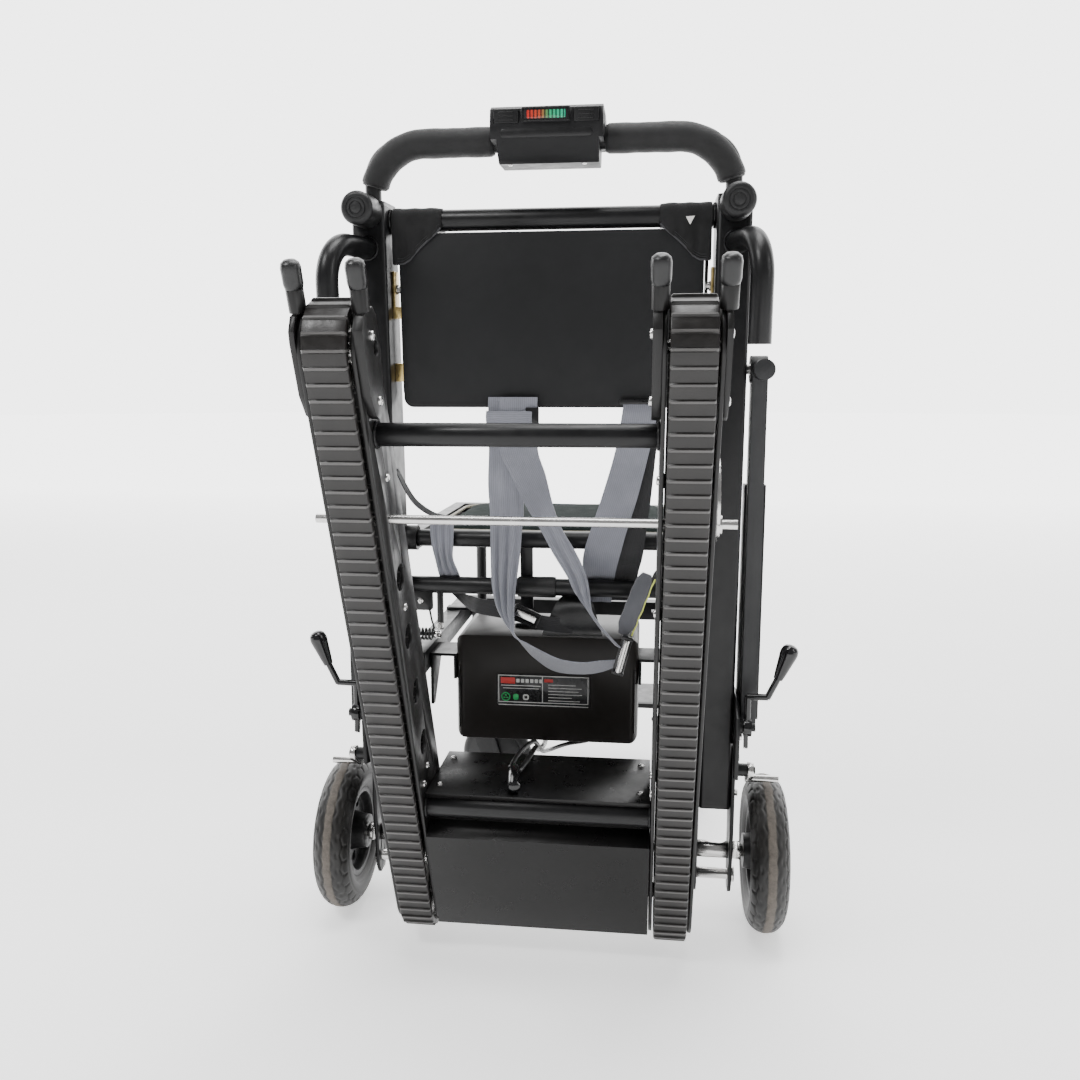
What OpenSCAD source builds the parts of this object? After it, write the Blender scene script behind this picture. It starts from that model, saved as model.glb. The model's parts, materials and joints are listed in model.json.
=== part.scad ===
// Powered stair chair with a pair of fold-out climbing tracks.
// The sitter faces +Y, +X is the sitter's right side and +Z is up. The floor is Z = 0.

/* [Back frame] */
// Distance between the centres of the two main tubes
tube_gap = 426; // [420:1:440]
// Width of a main tube, across the chair
tube_w = 40; // [36:1:40]
// Depth of a main tube, front to back
tube_d = 60; // [50:1:64]
// Rearward lean of the back frame
back_lean = 3; // [2:0.5:4]
// Length of a main tube
tube_len = 748; // [730:1:760]

/* [Climbing tracks] */
// Rearward lean of the tracks when they are folded out
track_lean = 22; // [20:0.5:24]
// Width of a track belt
belt_w = 40; // [36:1:40]
// Distance between the centres of the two belts
belt_gap = 313; // [309:1:314]
// Outer radius of a belt around its drive sprocket
belt_r_low = 58; // [56:0.5:60]
// Outer radius of a belt around its top idler
belt_r_top = 45; // [43:0.5:46]
// Distance between the sprocket and the idler
track_len = 714; // [700:1:720]
// Number of cross ribs on a belt
rib_count = 116; // [80:2:130]
// Height of a cross rib
rib_h = 2.5; // [1.5:0.5:3]

/* [Wheels] */
// Radius of a rear wheel
wheel_r = 100; // [100:1:101]
// Width of a rear tyre
tyre_w = 48; // [40:1:48]
// Distance between the rear tyres' centre planes
wheel_gap = 559; // [556:1:566]
// Radius of a front caster wheel
caster_r = 62.5; // [60:0.5:64]

/* [Seat and arms] */
// Depth of the seat
seat_depth = 330; // [300:5:350]
// Width of the seat pad
seat_w = 330; // [300:5:340]
// Length of an armrest
arm_len = 440; // [400:5:450]

/* [Push handle] */
// Radius of a foam sleeve
foam_r = 13.5; // [12:0.5:15]
// Width of the control box
box_w = 128; // [110:2:140]

/* [Battery] */
// Width of the battery case
battery_w = 252; // [230:2:256]
// Height of the battery case
battery_h = 148; // [130:2:150]
// Depth of the battery case
battery_d = 140; // [100:5:150]

/* [Hidden] */
$fn = 48;

frame_y = -76;
axle_z = 100;
back_y = 8.5;
back_z = 150;
tx = tube_gap / 2;
tube_in = tx - tube_w / 2;
tube_out = tx + tube_w / 2;
tube_z0 = 17;
tube_z1 = tube_z0 + tube_len;
wx = wheel_gap / 2;
axle_r = 8;
run = 0.05;
bx = belt_gap / 2;
sprocket = [-76.8, 7.5];
idler = [-76.8 - belt_r_low + belt_r_top, 7.5 + track_len];
belt_t = 5.5;
low_r = belt_r_low - rib_h;
top_r = belt_r_top - rib_h;
plate_in = bx - belt_w / 2 - 6;
plate_out = bx + belt_w / 2 + 2;
plate_t = 4;
rod_at = [-93, 548];
rod_r = 4.5;
seat_z = 361.5;
seat_tube_r = 11;
low_tube_z = 299.4;
arm_pivot = [-22, 723];
handle_r = 9.5;
handle_top = 834;
bend_r = 38;
steel = "#2b2c2e";
black = "#1c1d1f";
rubber = "#232324";
bright = "#c9ccd1";
webbing = "#5b5e66";

// ---- helpers ----
module place() {
    translate([0, frame_y, 0]) children();
}
module in_back() {
    place() translate([0, back_y, back_z]) rotate([back_lean, 0, 0]) children();
}
module in_track() {
    place() translate([0, 0, axle_z]) rotate([track_lean, 0, 0]) children();
}
module flip(s) {
    if (s > 0) children();
    if (s < 0) mirror([1, 0, 0]) children();
}
module pair() {
    children();
    mirror([1, 0, 0]) children();
}
module bar(p, q, r) {
    d = q - p;
    n = norm(d);
    translate(p) rotate([0, acos(d.z / n), atan2(d.y, d.x)]) cylinder(h = n, r = r);
}
// A cylinder along X from x0 to x1 at a given y and z.
module xcyl(x0, x1, y, z, r) {
    translate([x0, y, z]) rotate([0, 90, 0]) cylinder(h = x1 - x0, r = r);
}
// A cylinder along Y from y0 to y1.
module ycyl(y0, y1, x, z, r) {
    translate([x, y0, z]) rotate([-90, 0, 0]) cylinder(h = y1 - y0, r = r);
}
module hex_x(x0, x1, y, z, af) {
    translate([x0, y, z]) rotate([0, 90, 0]) cylinder(h = x1 - x0, r = af / 2 / cos(30), $fn = 6);
}
module round_rect(w, d, r) {
    square([w - 2 * r, d], center = true);
    square([w, d - 2 * r], center = true);
    for (i = [-1, 1], j = [-1, 1]) translate([i * (w / 2 - r), j * (d / 2 - r)]) circle(r = r, $fn = 32);
}
module round_box(w, d, h, r) {
    linear_extrude(h) round_rect(w, d, r);
}
// Extrudes a Y-Z outline along X from x0 to x1.
module yz(x0, x1) {
    translate([x0, 0, 0]) rotate([90, 0, 90]) linear_extrude(x1 - x0) children();
}
// Extrudes an X-Z outline along Y, from y0 towards +Y.
module xz(y0, y1) {
    translate([0, y1, 0]) rotate([90, 0, 0]) linear_extrude(y1 - y0) children();
}
// A screw with a round head whose axis is X, its head at x and pointing to +X.
module bolt_x(x, y, z, r) {
    xcyl(x, x + 1.5, y, z, r * 1.5);
    hex_x(x + 1.5, x + 1.5 + r, y, z, r * 2);
}
// A flat ribbon in the X-Z plane along points [x, z, width].
module ribbon(pts, y0, y1) {
    n = len(pts);
    a = [for (p = pts) [p[0] - p[2] / 2, p[1]]];
    b = [for (i = [n - 1:-1:0]) [pts[i][0] + pts[i][2] / 2, pts[i][1]]];
    xz(y0, y1) polygon(concat(a, b));
}

// ---- back frame ----
module side_tube() {
    in_back() translate([tx, 0, tube_z0]) difference() {
        round_box(tube_w, tube_d, tube_len, 5);
        translate([0, 0, -1]) round_box(tube_w - 5, tube_d - 5, tube_len + 2, 3);
    }
}
module side_tube_r() { color(steel) side_tube(); }
module side_tube_l() { color(steel) flip(-1) side_tube(); }
module back_top_tube() {
    color(steel) in_back() difference() {
        xcyl(-tube_in + 0.1, tube_in - 0.1, 0, 750, 12.5);
        xcyl(-tube_in - 1, tube_in + 1, 0, 750, 10.5);
    }
}
module low_cross_tubes() {
    color(steel) in_back() {
        xcyl(-tube_in + 0.1, tube_in - 0.1, 0, seat_z, seat_tube_r);
        xcyl(-tube_in + 0.1, tube_in - 0.1, 0, low_tube_z, 11);
        // Flat stay behind the two tubes
        translate([-41, 9.5, low_tube_z - 32]) cube([16, 4, 94]);
    }
}
// Tube grip that leaves the main tube to the rear and hooks downwards.
module loop_handle() {
    in_back() difference() {
        translate([tx + 2, -tube_d / 2, 717]) rotate([0, 0, 13.4]) {
            ycyl(-46, 5, 0, 0, 12.5);
            translate([0, -46, -45]) rotate([0, 0, -90]) rotate([90, 0, 0])
                rotate_extrude(angle = 90) translate([45, 0]) circle(r = 12.5);
            translate([0, -91, -113]) cylinder(h = 68, r = 12.5);
        }
        translate([tx - 30, -tube_d / 2 - 0.2, 690]) cube([70, 40, 60]);
        translate([tx + 2, -tube_d / 2, 717]) rotate([0, 0, 13.4]) translate([0, -91, -114])
            cylinder(h = 50, r = 10.5);
    }
}
module loop_handles() { color(steel) pair() loop_handle(); }
module rear_grips() {
    color(rubber) in_back() pair() translate([tx + 1, -tube_d / 2 - 0.2, 758]) rotate([90, 0, 0])
        rotate_extrude() difference() {
            union() {
                square([19, 36]);
                translate([0, 36]) square([13, 6]);
                intersection() {
                    translate([13, 36]) circle(r = 6, $fn = 32);
                    translate([0, 30]) square([30, 20]);
                }
            }
            translate([6, 40.8]) square([1.5, 3]);
            translate([10.5, 40.8]) square([1.2, 3]);
            translate([-30, -1]) square([30, 60]);
        }
}
module tube_bushings() {
    color(black) in_back() pair() translate([tx, 0, tube_z1 - 40]) difference() {
        union() {
            round_box(tube_w - 5.4, tube_d - 5.4, 40.2, 3);
            translate([0, 0, 40.2]) round_box(tube_w - 1, tube_d - 1, 5, 5);
        }
        translate([0, 0, -1]) cylinder(h = 60, r = handle_r + run);
    }
}
module back_board() {
    color("#26282b") in_back() translate([0, -12, 0]) xz(0, 10) translate([0, 632])
        round_rect(362, 206, 12);
}
module back_cushion() {
    color("#2a2c30") in_back() translate([0, -1.5, 0]) xz(0, 30) translate([0, 632])
        round_rect(350, 196, 20);
}
// Cloth corner pocket that wraps the top cross tube.
module corner_pocket() {
    in_back() translate([0, -15, 0]) difference() {
        xz(0, 30) polygon([[191, 764], [136, 764], [129, 757], [129, 741], [142, 731], [162, 712],
            [168, 704], [176, 700], [191, 700]]);
        xcyl(100, 200, 15, 750, 12.6);
        translate([100, 2.7, 600]) cube([83, 42, 136.5]);
    }
}
module corner_pockets() { color("#242529") pair() corner_pocket(); }
module back_brackets() {
    color("#b79a52") in_back() pair() {
        translate([tube_in - 11.8, -6, 636]) cube([11.6, 3, 14]);
        translate([tube_in - 3.2, -6, 650]) cube([3, 22, 42]);
        translate([tube_in - 3.2, -6, 636]) cube([3, 22, 14]);
        translate([tube_in - 11.8, -6, 560]) cube([11.6, 3, 22]);
        translate([tube_in - 3.2, -3, 560]) cube([3, 19, 22]);
    }
}

// ---- running gear ----
module axle_plate() {
    yz(0, 4.6) difference() {
        polygon([[-24, 250], [26, 250], [24, 150], [18, 60], [10, 46], [-10, 46], [-18, 60], [-26, 150]]);
        translate([0, axle_z]) circle(r = axle_r + run);
        translate([0, 66]) circle(r = 7.1);
    }
}
module axle_plates() {
    color(steel) place() pair() {
        translate([tube_out + 0.2, 0, 0]) axle_plate();
        translate([tube_in - 4.8, 0, 0]) axle_plate();
    }
}
module rear_axle() {
    color(bright) place() {
        xcyl(-300, 300, 0, axle_z, axle_r);
        pair() {
            hex_x(292, 299, 0, axle_z, 22);
            hex_x(tube_out + 5, tube_out + 12, 0, axle_z, 22);
            xcyl(tube_out + 12, 250, 0, axle_z, 12);
        }
        // Spacer rods below the axle and spacer sleeves on it
        pair() {
            xcyl(tube_in - 7, tube_out + 7, 0, 66, 7);
            xcyl(tube_out + 5, tube_out + 9, 0, 66, 10);
            difference() {
                xcyl(tube_in, tube_out, 0, axle_z, 11);
                xcyl(tube_in - 1, tube_out + 1, 0, axle_z, axle_r - 1);
            }
        }
    }
}
module tyre(x) {
    translate([x, 0, axle_z]) rotate([0, 90, 0]) rotate_extrude($fn = 96) difference() {
        translate([wheel_r - tyre_w / 2, 0]) circle(r = tyre_w / 2);
        translate([0, -40]) square([60, 80]);
    }
}
module hub(x) {
    translate([x, 0, axle_z]) rotate([0, 90, 0]) difference() {
        rotate_extrude($fn = 64) polygon([[axle_r + run, -27], [22, -27], [24, -12], [26, -5], [50, -4],
            [52, -17], [59.95, -17], [59.95, 17], [52, 17], [50, 6], [26, 7], [24, 10], [22, 12],
            [axle_r + run, 12]]);
        for (a = [0:72:359]) rotate([0, 0, a]) translate([38, 0, -30]) cylinder(h = 60, r = 7, $fn = 32);
    }
}
module tyre_r() { color(rubber) place() tyre(wx); }
module tyre_l() { color(rubber) place() tyre(-wx); }
module hub_r() { color(black) place() hub(wx); }
module hub_l() { color(black) place() flip(-1) hub(wx); }

// ---- base ----
module base_frame() {
    color(steel) place() {
        pair() {
            translate([190 - 12.5, 34, 315]) cube([25, 346, 30]);
            translate([tube_in + 0.2, 30.9, 300]) cube([34, 8.1, 60]);
        }
        difference() {
            translate([-202.5, 380.2, 315]) cube([405, 25, 30]);
            translate([-200, 382.7, 317.5]) cube([400, 20, 25]);
        }
        // Hinge blocks and pins of the footrest
        pair() {
            translate([150, 405, 318]) cube([20, 22, 24]);
            xcyl(134, 151, 418, 330, 6);
        }
    }
}
// Caster leg: a tube with a bored socket for the caster stem.
module front_leg(s) {
    flip(s) difference() {
        union() {
            translate([165, 392.7, 176]) cylinder(h = 138.8, r = 14);
            translate([165, 392.7, 160]) cylinder(h = 16, r = 18);
        }
        translate([165, 392.7, 150]) cylinder(h = 60, r = 8 + run);
    }
}
module front_legs() {
    color(steel) place() {
        front_leg(1);
        front_leg(-1);
    }
}
module seat_posts() {
    color(steel) place() pair() {
        translate([145, 300, 345.2]) cylinder(h = 140, r = 8);
        translate([145, 300, 480]) cylinder(h = 15.7, r = 11);
        translate([130, 290, 345.2]) cube([72, 20, 4]);
    }
}
// Caster head and cheeks, turned about the stem by angle a; the wheel trails by 30 mm.
module caster_body(a) {
    rotate([0, 0, a]) {
        translate([0, 0, 134]) cylinder(h = 25.6, r = 17);
        translate([0, 0, 136]) cylinder(h = 70, r = 8);
        for (x = [-24, 20]) yz(x, x + 4) difference() {
            polygon([[-20, 138], [20, 138], [-12, 56], [-20, 50], [-40, 50], [-46, 60]]);
            translate([-30, caster_r]) circle(r = 5 + run);
        }
        translate([-24, -20, 134]) cube([48, 40, 5]);
    }
}
module caster_wheel(a) {
    rotate([0, 0, a]) translate([0, -30, caster_r]) rotate([0, 90, 0]) {
        rotate_extrude($fn = 72) difference() {
            union() {
                translate([0, -16]) square([caster_r - 14, 32]);
                translate([caster_r - 14, 0]) circle(r = 14);
            }
            translate([-40, -40]) square([40, 80]);
        }
        translate([0, 0, -27]) cylinder(h = 54, r = 5);
    }
}
caster_left = 82;
caster_right = 40;
module caster_fork_l() { color(steel) place() translate([-165, 392.7, 0]) caster_body(caster_left); }
module caster_fork_r() { color(steel) place() translate([165, 392.7, 0]) caster_body(caster_right); }
module caster_wheel_l() { color(rubber) place() translate([-165, 392.7, 0]) caster_wheel(caster_left); }
module caster_wheel_r() { color(rubber) place() translate([165, 392.7, 0]) caster_wheel(caster_right); }

// ---- battery ----
battery_x = -14;
battery_y = 60;
battery_z = 217;
module battery_case() {
    color(black) place() translate([battery_x, battery_y, battery_z]) {
        difference() {
            intersection() {
                translate([0, battery_d / 2, 0]) round_box(battery_w, battery_d, battery_h, 12);
                xz(-1, battery_d + 1) translate([0, battery_h / 2]) round_rect(battery_w, battery_h, 12);
            }
            translate([-69, -1, 49]) cube([130, 1.8, 45.4]);
        }
        translate([-40, 50, battery_h - 0.5]) cube([80, 30, 6]);
    }
}
module battery_label() {
    color("#3a3d42") place() translate([battery_x - 68.8, battery_y, battery_z + 49.2])
        cube([129.6, 0.7, 45]);
}
module battery_bracket() {
    color(steel) place() {
        for (s = [-1, 1]) {
            x0 = s > 0 ? battery_x + battery_w / 2 + 0.3 : -177.2;
            x1 = s > 0 ? 177.2 : battery_x - battery_w / 2 - 0.3;
            translate([x0, 66, 332]) cube([x1 - x0, 60, 4]);
            xm = s > 0 ? x1 - 4 : x0;
            yz(xm, xm + 4) polygon([[66, 332.5], [126, 332.5], [120, 320], [76, 262], [66, 262]]);
            xb = s > 0 ? x0 : x1 - 4;
            yz(xb, xb + 4) polygon([[66, 332.5], [126, 332.5], [126, 300], [66, 300]]);
        }
    }
}

// ---- parking brakes ----
lever_at = [-52, 288];
shoe_at = [-50, 232];
module brake_bracket() {
    yz(tube_out + 0.2, tube_out + 4.8)
        polygon([[24, 256], [24, 300], [14, 318], [-30, 318], [-62, 302], [-64, 280], [-60, 222],
            [-42, 218], [-34, 254.5]]);
    xcyl(tube_out + 4.7, tube_out + 9, lever_at.x, lever_at.y, 8);
    xcyl(tube_out + 4.7, tube_out + 24, lever_at.x, lever_at.y, 5);
    xcyl(tube_out + 4.7, tube_out + 16, shoe_at.x, shoe_at.y, 8);
    xcyl(tube_out + 4.7, tube_out + 26, shoe_at.x, shoe_at.y, 4.5);
}
module brake_brackets() { color(steel) place() pair() brake_bracket(); }
module brake_lever(s) {
    y = lever_at.x;
    place() flip(s) {
        difference() {
            xcyl(tube_out + 9.5, tube_out + 19, y, lever_at.y, 11);
            xcyl(tube_out + 9, tube_out + 20, y, lever_at.y, 5 + run);
        }
        bar([tube_out + 14, y, 298], [tube_out + 14, y, 328], 4);
        bar([tube_out + 13, y, 327], [271, y - 2, 328], 4);
        bar([270, y - 2, 327], [283, y - 4, 356], 4);
        // Knob
        translate([281.5, y - 4, 352]) rotate([0, 20, 0]) rotate_extrude() polygon([[0, 0], [5.5, 0],
            [7, 8], [9, 22], [10.6, 32], [10.8, 36], [9.6, 41], [7, 44], [3, 45.5], [0, 45.5]]);
        // Coupling arm towards the shoe
        yz(tube_out + 10, tube_out + 15) polygon([[y - 8, 284], [y - 10, 266], [y - 4, 262], [y + 2, 280]]);
    }
}
module brake_lever_r() { color(black) brake_lever(1); }
module brake_lever_l() { color(black) brake_lever(-1); }
module brake_shoe(s) {
    place() flip(s) {
        difference() {
            union() {
                xcyl(tube_out + 17, tube_out + 23.5, shoe_at.x, shoe_at.y, 10);
                yz(tube_out + 17, tube_out + 23.5) polygon([[-54, 242], [-44, 240], [-16, 213], [-20, 204],
                    [-26, 206], [-56, 224]]);
                xcyl(tube_out + 18, 292, -20, 209, 4.5);
            }
            xcyl(tube_out + 8, tube_out + 24, shoe_at.x, shoe_at.y, 4.5 + run);
        }
    }
}
module brake_shoe_r() { color(bright) brake_shoe(1); }
module brake_shoe_l() { color(bright) brake_shoe(-1); }

// ---- tracks ----
// Outline of a belt: two arcs joined by straight runs, grown by g.
function run_angle(g) = asin((belt_r_low - belt_r_top) / norm(idler - sprocket));
module stadium(r0, r1) {
    translate(sprocket) circle(r = r0, $fn = 96);
    translate(idler) circle(r = r1, $fn = 96);
    d = idler - sprocket;
    n = norm(d);
    u = d / n;
    v = [-u.y, u.x];
    c = (r0 - r1) / n;
    k = sqrt(1 - c * c);
    a = c * u + k * v;
    b = c * u - k * v;
    polygon([sprocket + r0 * a, idler + r1 * a, idler + r1 * b, sprocket + r0 * b]);
}
d_si = norm(idler - sprocket);
u_si = (idler - sprocket) / d_si;
v_si = [-u_si.y, u_si.x];
c_si = (low_r - top_r) / d_si;
k_si = sqrt(1 - c_si * c_si);
run_len = d_si * k_si;
na = c_si * u_si + k_si * v_si;
nb = c_si * u_si - k_si * v_si;
ang_a = atan2(na.y, na.x);
ang_b = atan2(nb.y, nb.x);
low_arc = (360 - (ang_a - ang_b)) * PI / 180 * low_r;
top_arc = (ang_a - ang_b) * PI / 180 * top_r;
loop_len = 2 * run_len + low_arc + top_arc;
// Point and outward angle at distance s along the belt.
function along(s) =
    s < run_len ? [sprocket + low_r * na + s * (idler + top_r * na - sprocket - low_r * na) / run_len, ang_a]
    : s < run_len + top_arc ? let (t = ang_a - (s - run_len) / top_r * 180 / PI)
        [idler + top_r * [cos(t), sin(t)], t]
    : s < 2 * run_len + top_arc ? let (m = s - run_len - top_arc)
        [idler + top_r * nb - m * (idler + top_r * nb - sprocket - low_r * nb) / run_len, ang_b]
    : let (t = ang_b - (s - 2 * run_len - top_arc) / low_r * 180 / PI)
        [sprocket + low_r * [cos(t), sin(t)], t];
module belt(x) {
    yz(x - belt_w / 2, x + belt_w / 2) {
        difference() {
            stadium(low_r, top_r);
            stadium(low_r - belt_t, top_r - belt_t);
        }
        for (i = [0:rib_count - 1]) {
            q = along((i + 0.5) * loop_len / rib_count);
            translate(q[0]) rotate(q[1]) translate([-1, -1.4]) square([rib_h + 1, 2.8]);
        }
    }
}
module belt_r() { color(rubber) in_track() belt(bx); }
module belt_l() { color(rubber) in_track() belt(-bx); }
module track_plate(x) {
    yz(x, x + plate_t) difference() {
        union() {
            stadium(belt_r_low - 10, belt_r_top - 9);
            polygon([[-60, -34], [-2, -16], [2, 16], [-40, 60]]);
            circle(r = 17);
        }
        circle(r = axle_r + run);
        translate(sprocket) circle(r = 9 + run);
        translate(idler) circle(r = 6 + run);
        translate(rod_at) circle(r = rod_r + run);
        translate([-107.2, 172]) circle(r = 13.1);
        translate([-97.9, 641.4]) circle(r = 11.1);
        for (z = [250:75:475]) translate([-86, z]) circle(r = 14);
    }
}
module track_plates(s) {
    in_track() flip(s) {
        track_plate(plate_in);
        track_plate(plate_out);
        // Distance pieces between the two plates
        for (z = [213, 438, 590]) xcyl(plate_in + plate_t, plate_out, -86, z, 7);
    }
}
module track_plates_r() { color(black) track_plates(1); }
module track_plates_l() { color(black) track_plates(-1); }
module guard_post(x0, x1, xc) {
    yz(x0, x1) difference() {
        guard_outline();
        translate(idler) circle(r = 7);
    }
    translate([xc, -98, 757.95]) cylinder(h = 20.05, r = 7.8);
}
module guard_outline() {
    polygon([[-124, 738], [-122, 748], [-112, 758], [-84, 758], [-76, 748], [-76, 715],
        [-86, 676], [-94, 662], [-106, 660], [-116, 668], [-124, 690]]);
}
module guard_posts() {
    color(black) in_track() pair() {
        guard_post(plate_in - 8.2, plate_in - 0.2, bx - 28.3);
        guard_post(plate_out + 4.2, plate_out + 9.2, bx + 28.2);
    }
}
module guard_caps() {
    color(rubber) in_track() pair() for (x = [bx - 28.3, bx + 28.2])
        translate([x, -98, 778.2]) rotate_extrude() polygon([[0, 0], [7.8, 0], [8.8, 4], [9, 18], [8, 22],
            [5, 24.5], [0, 25.5]]);
}
module track_tubes() {
    color(steel) in_track() {
        xcyl(-plate_in - 2, plate_in + 2, -97.9, 641.4, 11);
        xcyl(-plate_in - 2, plate_in + 2, -107.2, 172, 13);
    }
}
// Sheet metal housing between the tracks, with the drive motor inside.
module drive_housing() {
    w = plate_in - 1;
    color(black) place() difference() {
        yz(-w, w) polygon([[-117, 42], [-174, 183], [-152, 196], [-176, 238], [-40, 236], [-30, 226],
            [-30, 60], [-46, 42]]);
        yz(-w + 2, w - 2) polygon([[-115, 44], [-170, 182], [-148, 197], [-170, 235.5], [-41, 234],
            [-32, 225], [-32, 61], [-47, 44]]);
        // The lower cross tube and the drive axle pass through
        translate([0, 0, axle_z]) rotate([track_lean, 0, 0]) {
            xcyl(-w - 1, w + 1, -107.2, 172, 14);
            xcyl(-w - 1, w + 1, sprocket.x, sprocket.y, 15);
        }
    }
}
module drive_motor() {
    color("#6d7075") place() {
        xcyl(-96, 40, -82, 176, 36);
        xcyl(-104, -96, -82, 176, 20);
        difference() {
            translate([42, -114, 60]) cube([60, 76, 142]);
            translate([0, 0, axle_z]) rotate([track_lean, 0, 0])
                xcyl(0, 120, sprocket.x, sprocket.y, 10.2);
        }
    }
}
// Sweeps a round section along a smooth curve through the points of a cable route.
function curve(p, k) = concat([for (i = [0:len(p) - 2], j = [0:k - 1])
    let (a = p[max(i - 1, 0)], b = p[i], c = p[i + 1], d = p[min(i + 2, len(p) - 1)], t = j / k)
    0.5 * (2 * b + (c - a) * t + (2 * a - 5 * b + 4 * c - d) * t * t
    + (3 * b - a - 3 * c + d) * t * t * t)], [p[len(p) - 1]]);
function unit(v) = v / norm(v);
module sweep(route, r, k = 3, n = 8) {
    p = curve(route, k);
    m = len(p);
    pts = [for (i = [0:m - 1])
        let (t = unit(p[min(i + 1, m - 1)] - p[max(i - 1, 0)]), u = unit(cross(t, [1, 0, 0])), v = cross(t, u))
        for (j = [0:n - 1]) p[i] + r * (u * cos(j * 360 / n) + v * sin(j * 360 / n))];
    sides = [for (i = [0:m - 2], j = [0:n - 1]) let (q = (j + 1) % n)
        each [[i * n + j, (i + 1) * n + j, i * n + q], [i * n + q, (i + 1) * n + j, (i + 1) * n + q]]];
    first = [for (j = [0:n - 1]) j];
    last = [for (j = [n - 1:-1:0]) (m - 1) * n + j];
    polyhedron(pts, concat(sides, [first, last]));
}
module power_cables() {
    color(black) place() {
        sweep([[-20, 138, 209], [-19, 112, 204], [-17, 60, 211], [-17, 0, 228], [-18, -36, 243],
            [-22, -80, 244], [-28, -117.6, 245]], 3.5);
        sweep([[52, 138, 209], [46, 118, 200], [12, 100, 198], [-9, 60, 204], [-13, 0, 226],
            [-20, -36, 252], [-33, -80, 251], [-38, -117.6, 248]], 3);
        translate([-34, -118, 246.6]) rotate([90, 0, 8]) cylinder(h = 58, r = 7.5);
    }
}
module drive_axle() {
    color(steel) in_track() {
        xcyl(-plate_out - 7, plate_out + 7, sprocket.x, sprocket.y, 9);
        pair() {
            xcyl(bx - 15, bx + 15, sprocket.x, sprocket.y, low_r - belt_t - 0.5);
            xcyl(bx - 19, bx + 19, sprocket.x, sprocket.y, 16);
        }
    }
}
module idlers() {
    color(steel) in_track() pair() difference() {
        union() {
            xcyl(bx - 17, bx + 17, idler.x, idler.y, top_r - belt_t - 0.5);
            xcyl(plate_in - 3, plate_out + plate_t + 3, idler.x, idler.y, 6);
        }
        for (a = [0:60:359]) xcyl(bx - 18, bx - 8, idler.x + 22 * cos(a), idler.y + 22 * sin(a), 6);
    }
}

// Release rod through both tracks, with a stay arm on each end.
stay_x = plate_out + plate_t + 1.4;
module stay_arm() {
    yz(stay_x, stay_x + 4) difference() {
        union() {
            circle(r = 12);
            // Upper curved tail
            intersection() {
                translate([30, 22]) difference() {
                    circle(r = 46, $fn = 64);
                    circle(r = 34, $fn = 64);
                }
                translate([-30, 0]) square([40, 62]);
            }
            rotate(-21) translate([0, -9]) square([282, 18]);
            rotate(-21) translate([282, 0]) circle(r = 9);
        }
        rotate(-21) translate([282, -4]) square([12, 8]);
        circle(r = rod_r - 0.2);
    }
}
module release_bar() {
    color(bright) place() translate([0, 0, axle_z]) rotate([track_lean, 0, 0])
        translate([0, rod_at.x, rod_at.y]) rotate([-track_lean, 0, 0]) {
            xcyl(-205, 205, 0, 0, rod_r);
            pair() {
                stay_arm();
                xcyl(stay_x + 4, stay_x + 6.5, 0, 0, 9);
            }
        }
}

// ---- push handle ----
module handle_bar() {
    z0 = tube_z1 - 250;
    color(steel) in_back() {
        pair() {
            translate([tx, 0, z0]) cylinder(h = handle_top - bend_r - z0, r = handle_r);
            translate([tx - bend_r, 0, handle_top - bend_r]) rotate([90, 0, 0])
                rotate_extrude(angle = 90) translate([bend_r, 0]) circle(r = handle_r);
        }
        xcyl(-tx + bend_r, tx - bend_r, 0, handle_top, handle_r);
    }
}
module foam_sleeves() {
    color(rubber) in_back() pair() difference() {
        union() {
            xcyl(box_w / 2 + 0.2, tx - bend_r, 0, handle_top, foam_r);
            translate([tx - bend_r, 0, handle_top - bend_r]) rotate([90, 0, 0])
                rotate_extrude(angle = 90) translate([bend_r, 0]) circle(r = foam_r);
            translate([tx, 0, handle_top - bend_r - 9]) cylinder(h = 9, r = foam_r);
        }
        xcyl(0, tx - bend_r, 0, handle_top, handle_r + 0.1);
        translate([tx - bend_r, 0, handle_top - bend_r]) rotate([90, 0, 0])
            rotate_extrude(angle = 90) translate([bend_r, 0]) circle(r = handle_r + 0.1);
        translate([tx, 0, handle_top - bend_r - 12]) cylinder(h = 12, r = handle_r + 0.1);
    }
}
module control_box() {
    w = box_w / 2;
    color(black) in_back() translate([0, 0, handle_top]) difference() {
        union() {
            yz(-w, w) polygon([[-30, 34], [-38, 30], [-42, 14], [-40, -2], [34, -6], [38, 8], [34, 30],
                [26, 34]]);
            yz(-w + 7, w - 5) polygon([[-40, -2], [34, -6], [28, -20], [20, -26], [-22, -26], [-32, -18]]);
            // Raised bezel of the display
            translate([-26, -43.5, 15]) cube([52, 8, 15]);
        }
        xcyl(-w - 1, w + 1, 0, 0, foam_r - 3);
        for (x = [-45, 45]) translate([x - 14.2, -50, 14]) cube([28.4, 14, 15]);
    }
}
module box_key(x) {
    color("#303236") in_back() translate([x - 14, -42.5, handle_top + 14.2]) cube([28, 3.5, 14.6]);
}
module key_up() { box_key(45); }
module key_down() { box_key(-45); }

// ---- armrests ----
module armrest(s) {
    x = 247;
    color("#4b4d50") place() flip(s) translate([x, arm_pivot.x, arm_pivot.y]) {
        difference() {
            union() {
                xcyl(-8, 12, 0, 0, 16);
                translate([-6, -15, -arm_len]) cube([18, 30, arm_len]);
                ycyl(-42, 0, 5, -1, 12);
            }
            xcyl(-14, 30, 0, 0, 6 + run);
            xcyl(12.3, 30, 0, 0, 9.4);
        }
        // Pad on the side that faces up when the arm is raised
        translate([-8, 15.2, -arm_len]) cube([26, 24, 300]);
    }
}
module armrest_r() { armrest(1); }
module armrest_l() { armrest(-1); }

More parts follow.
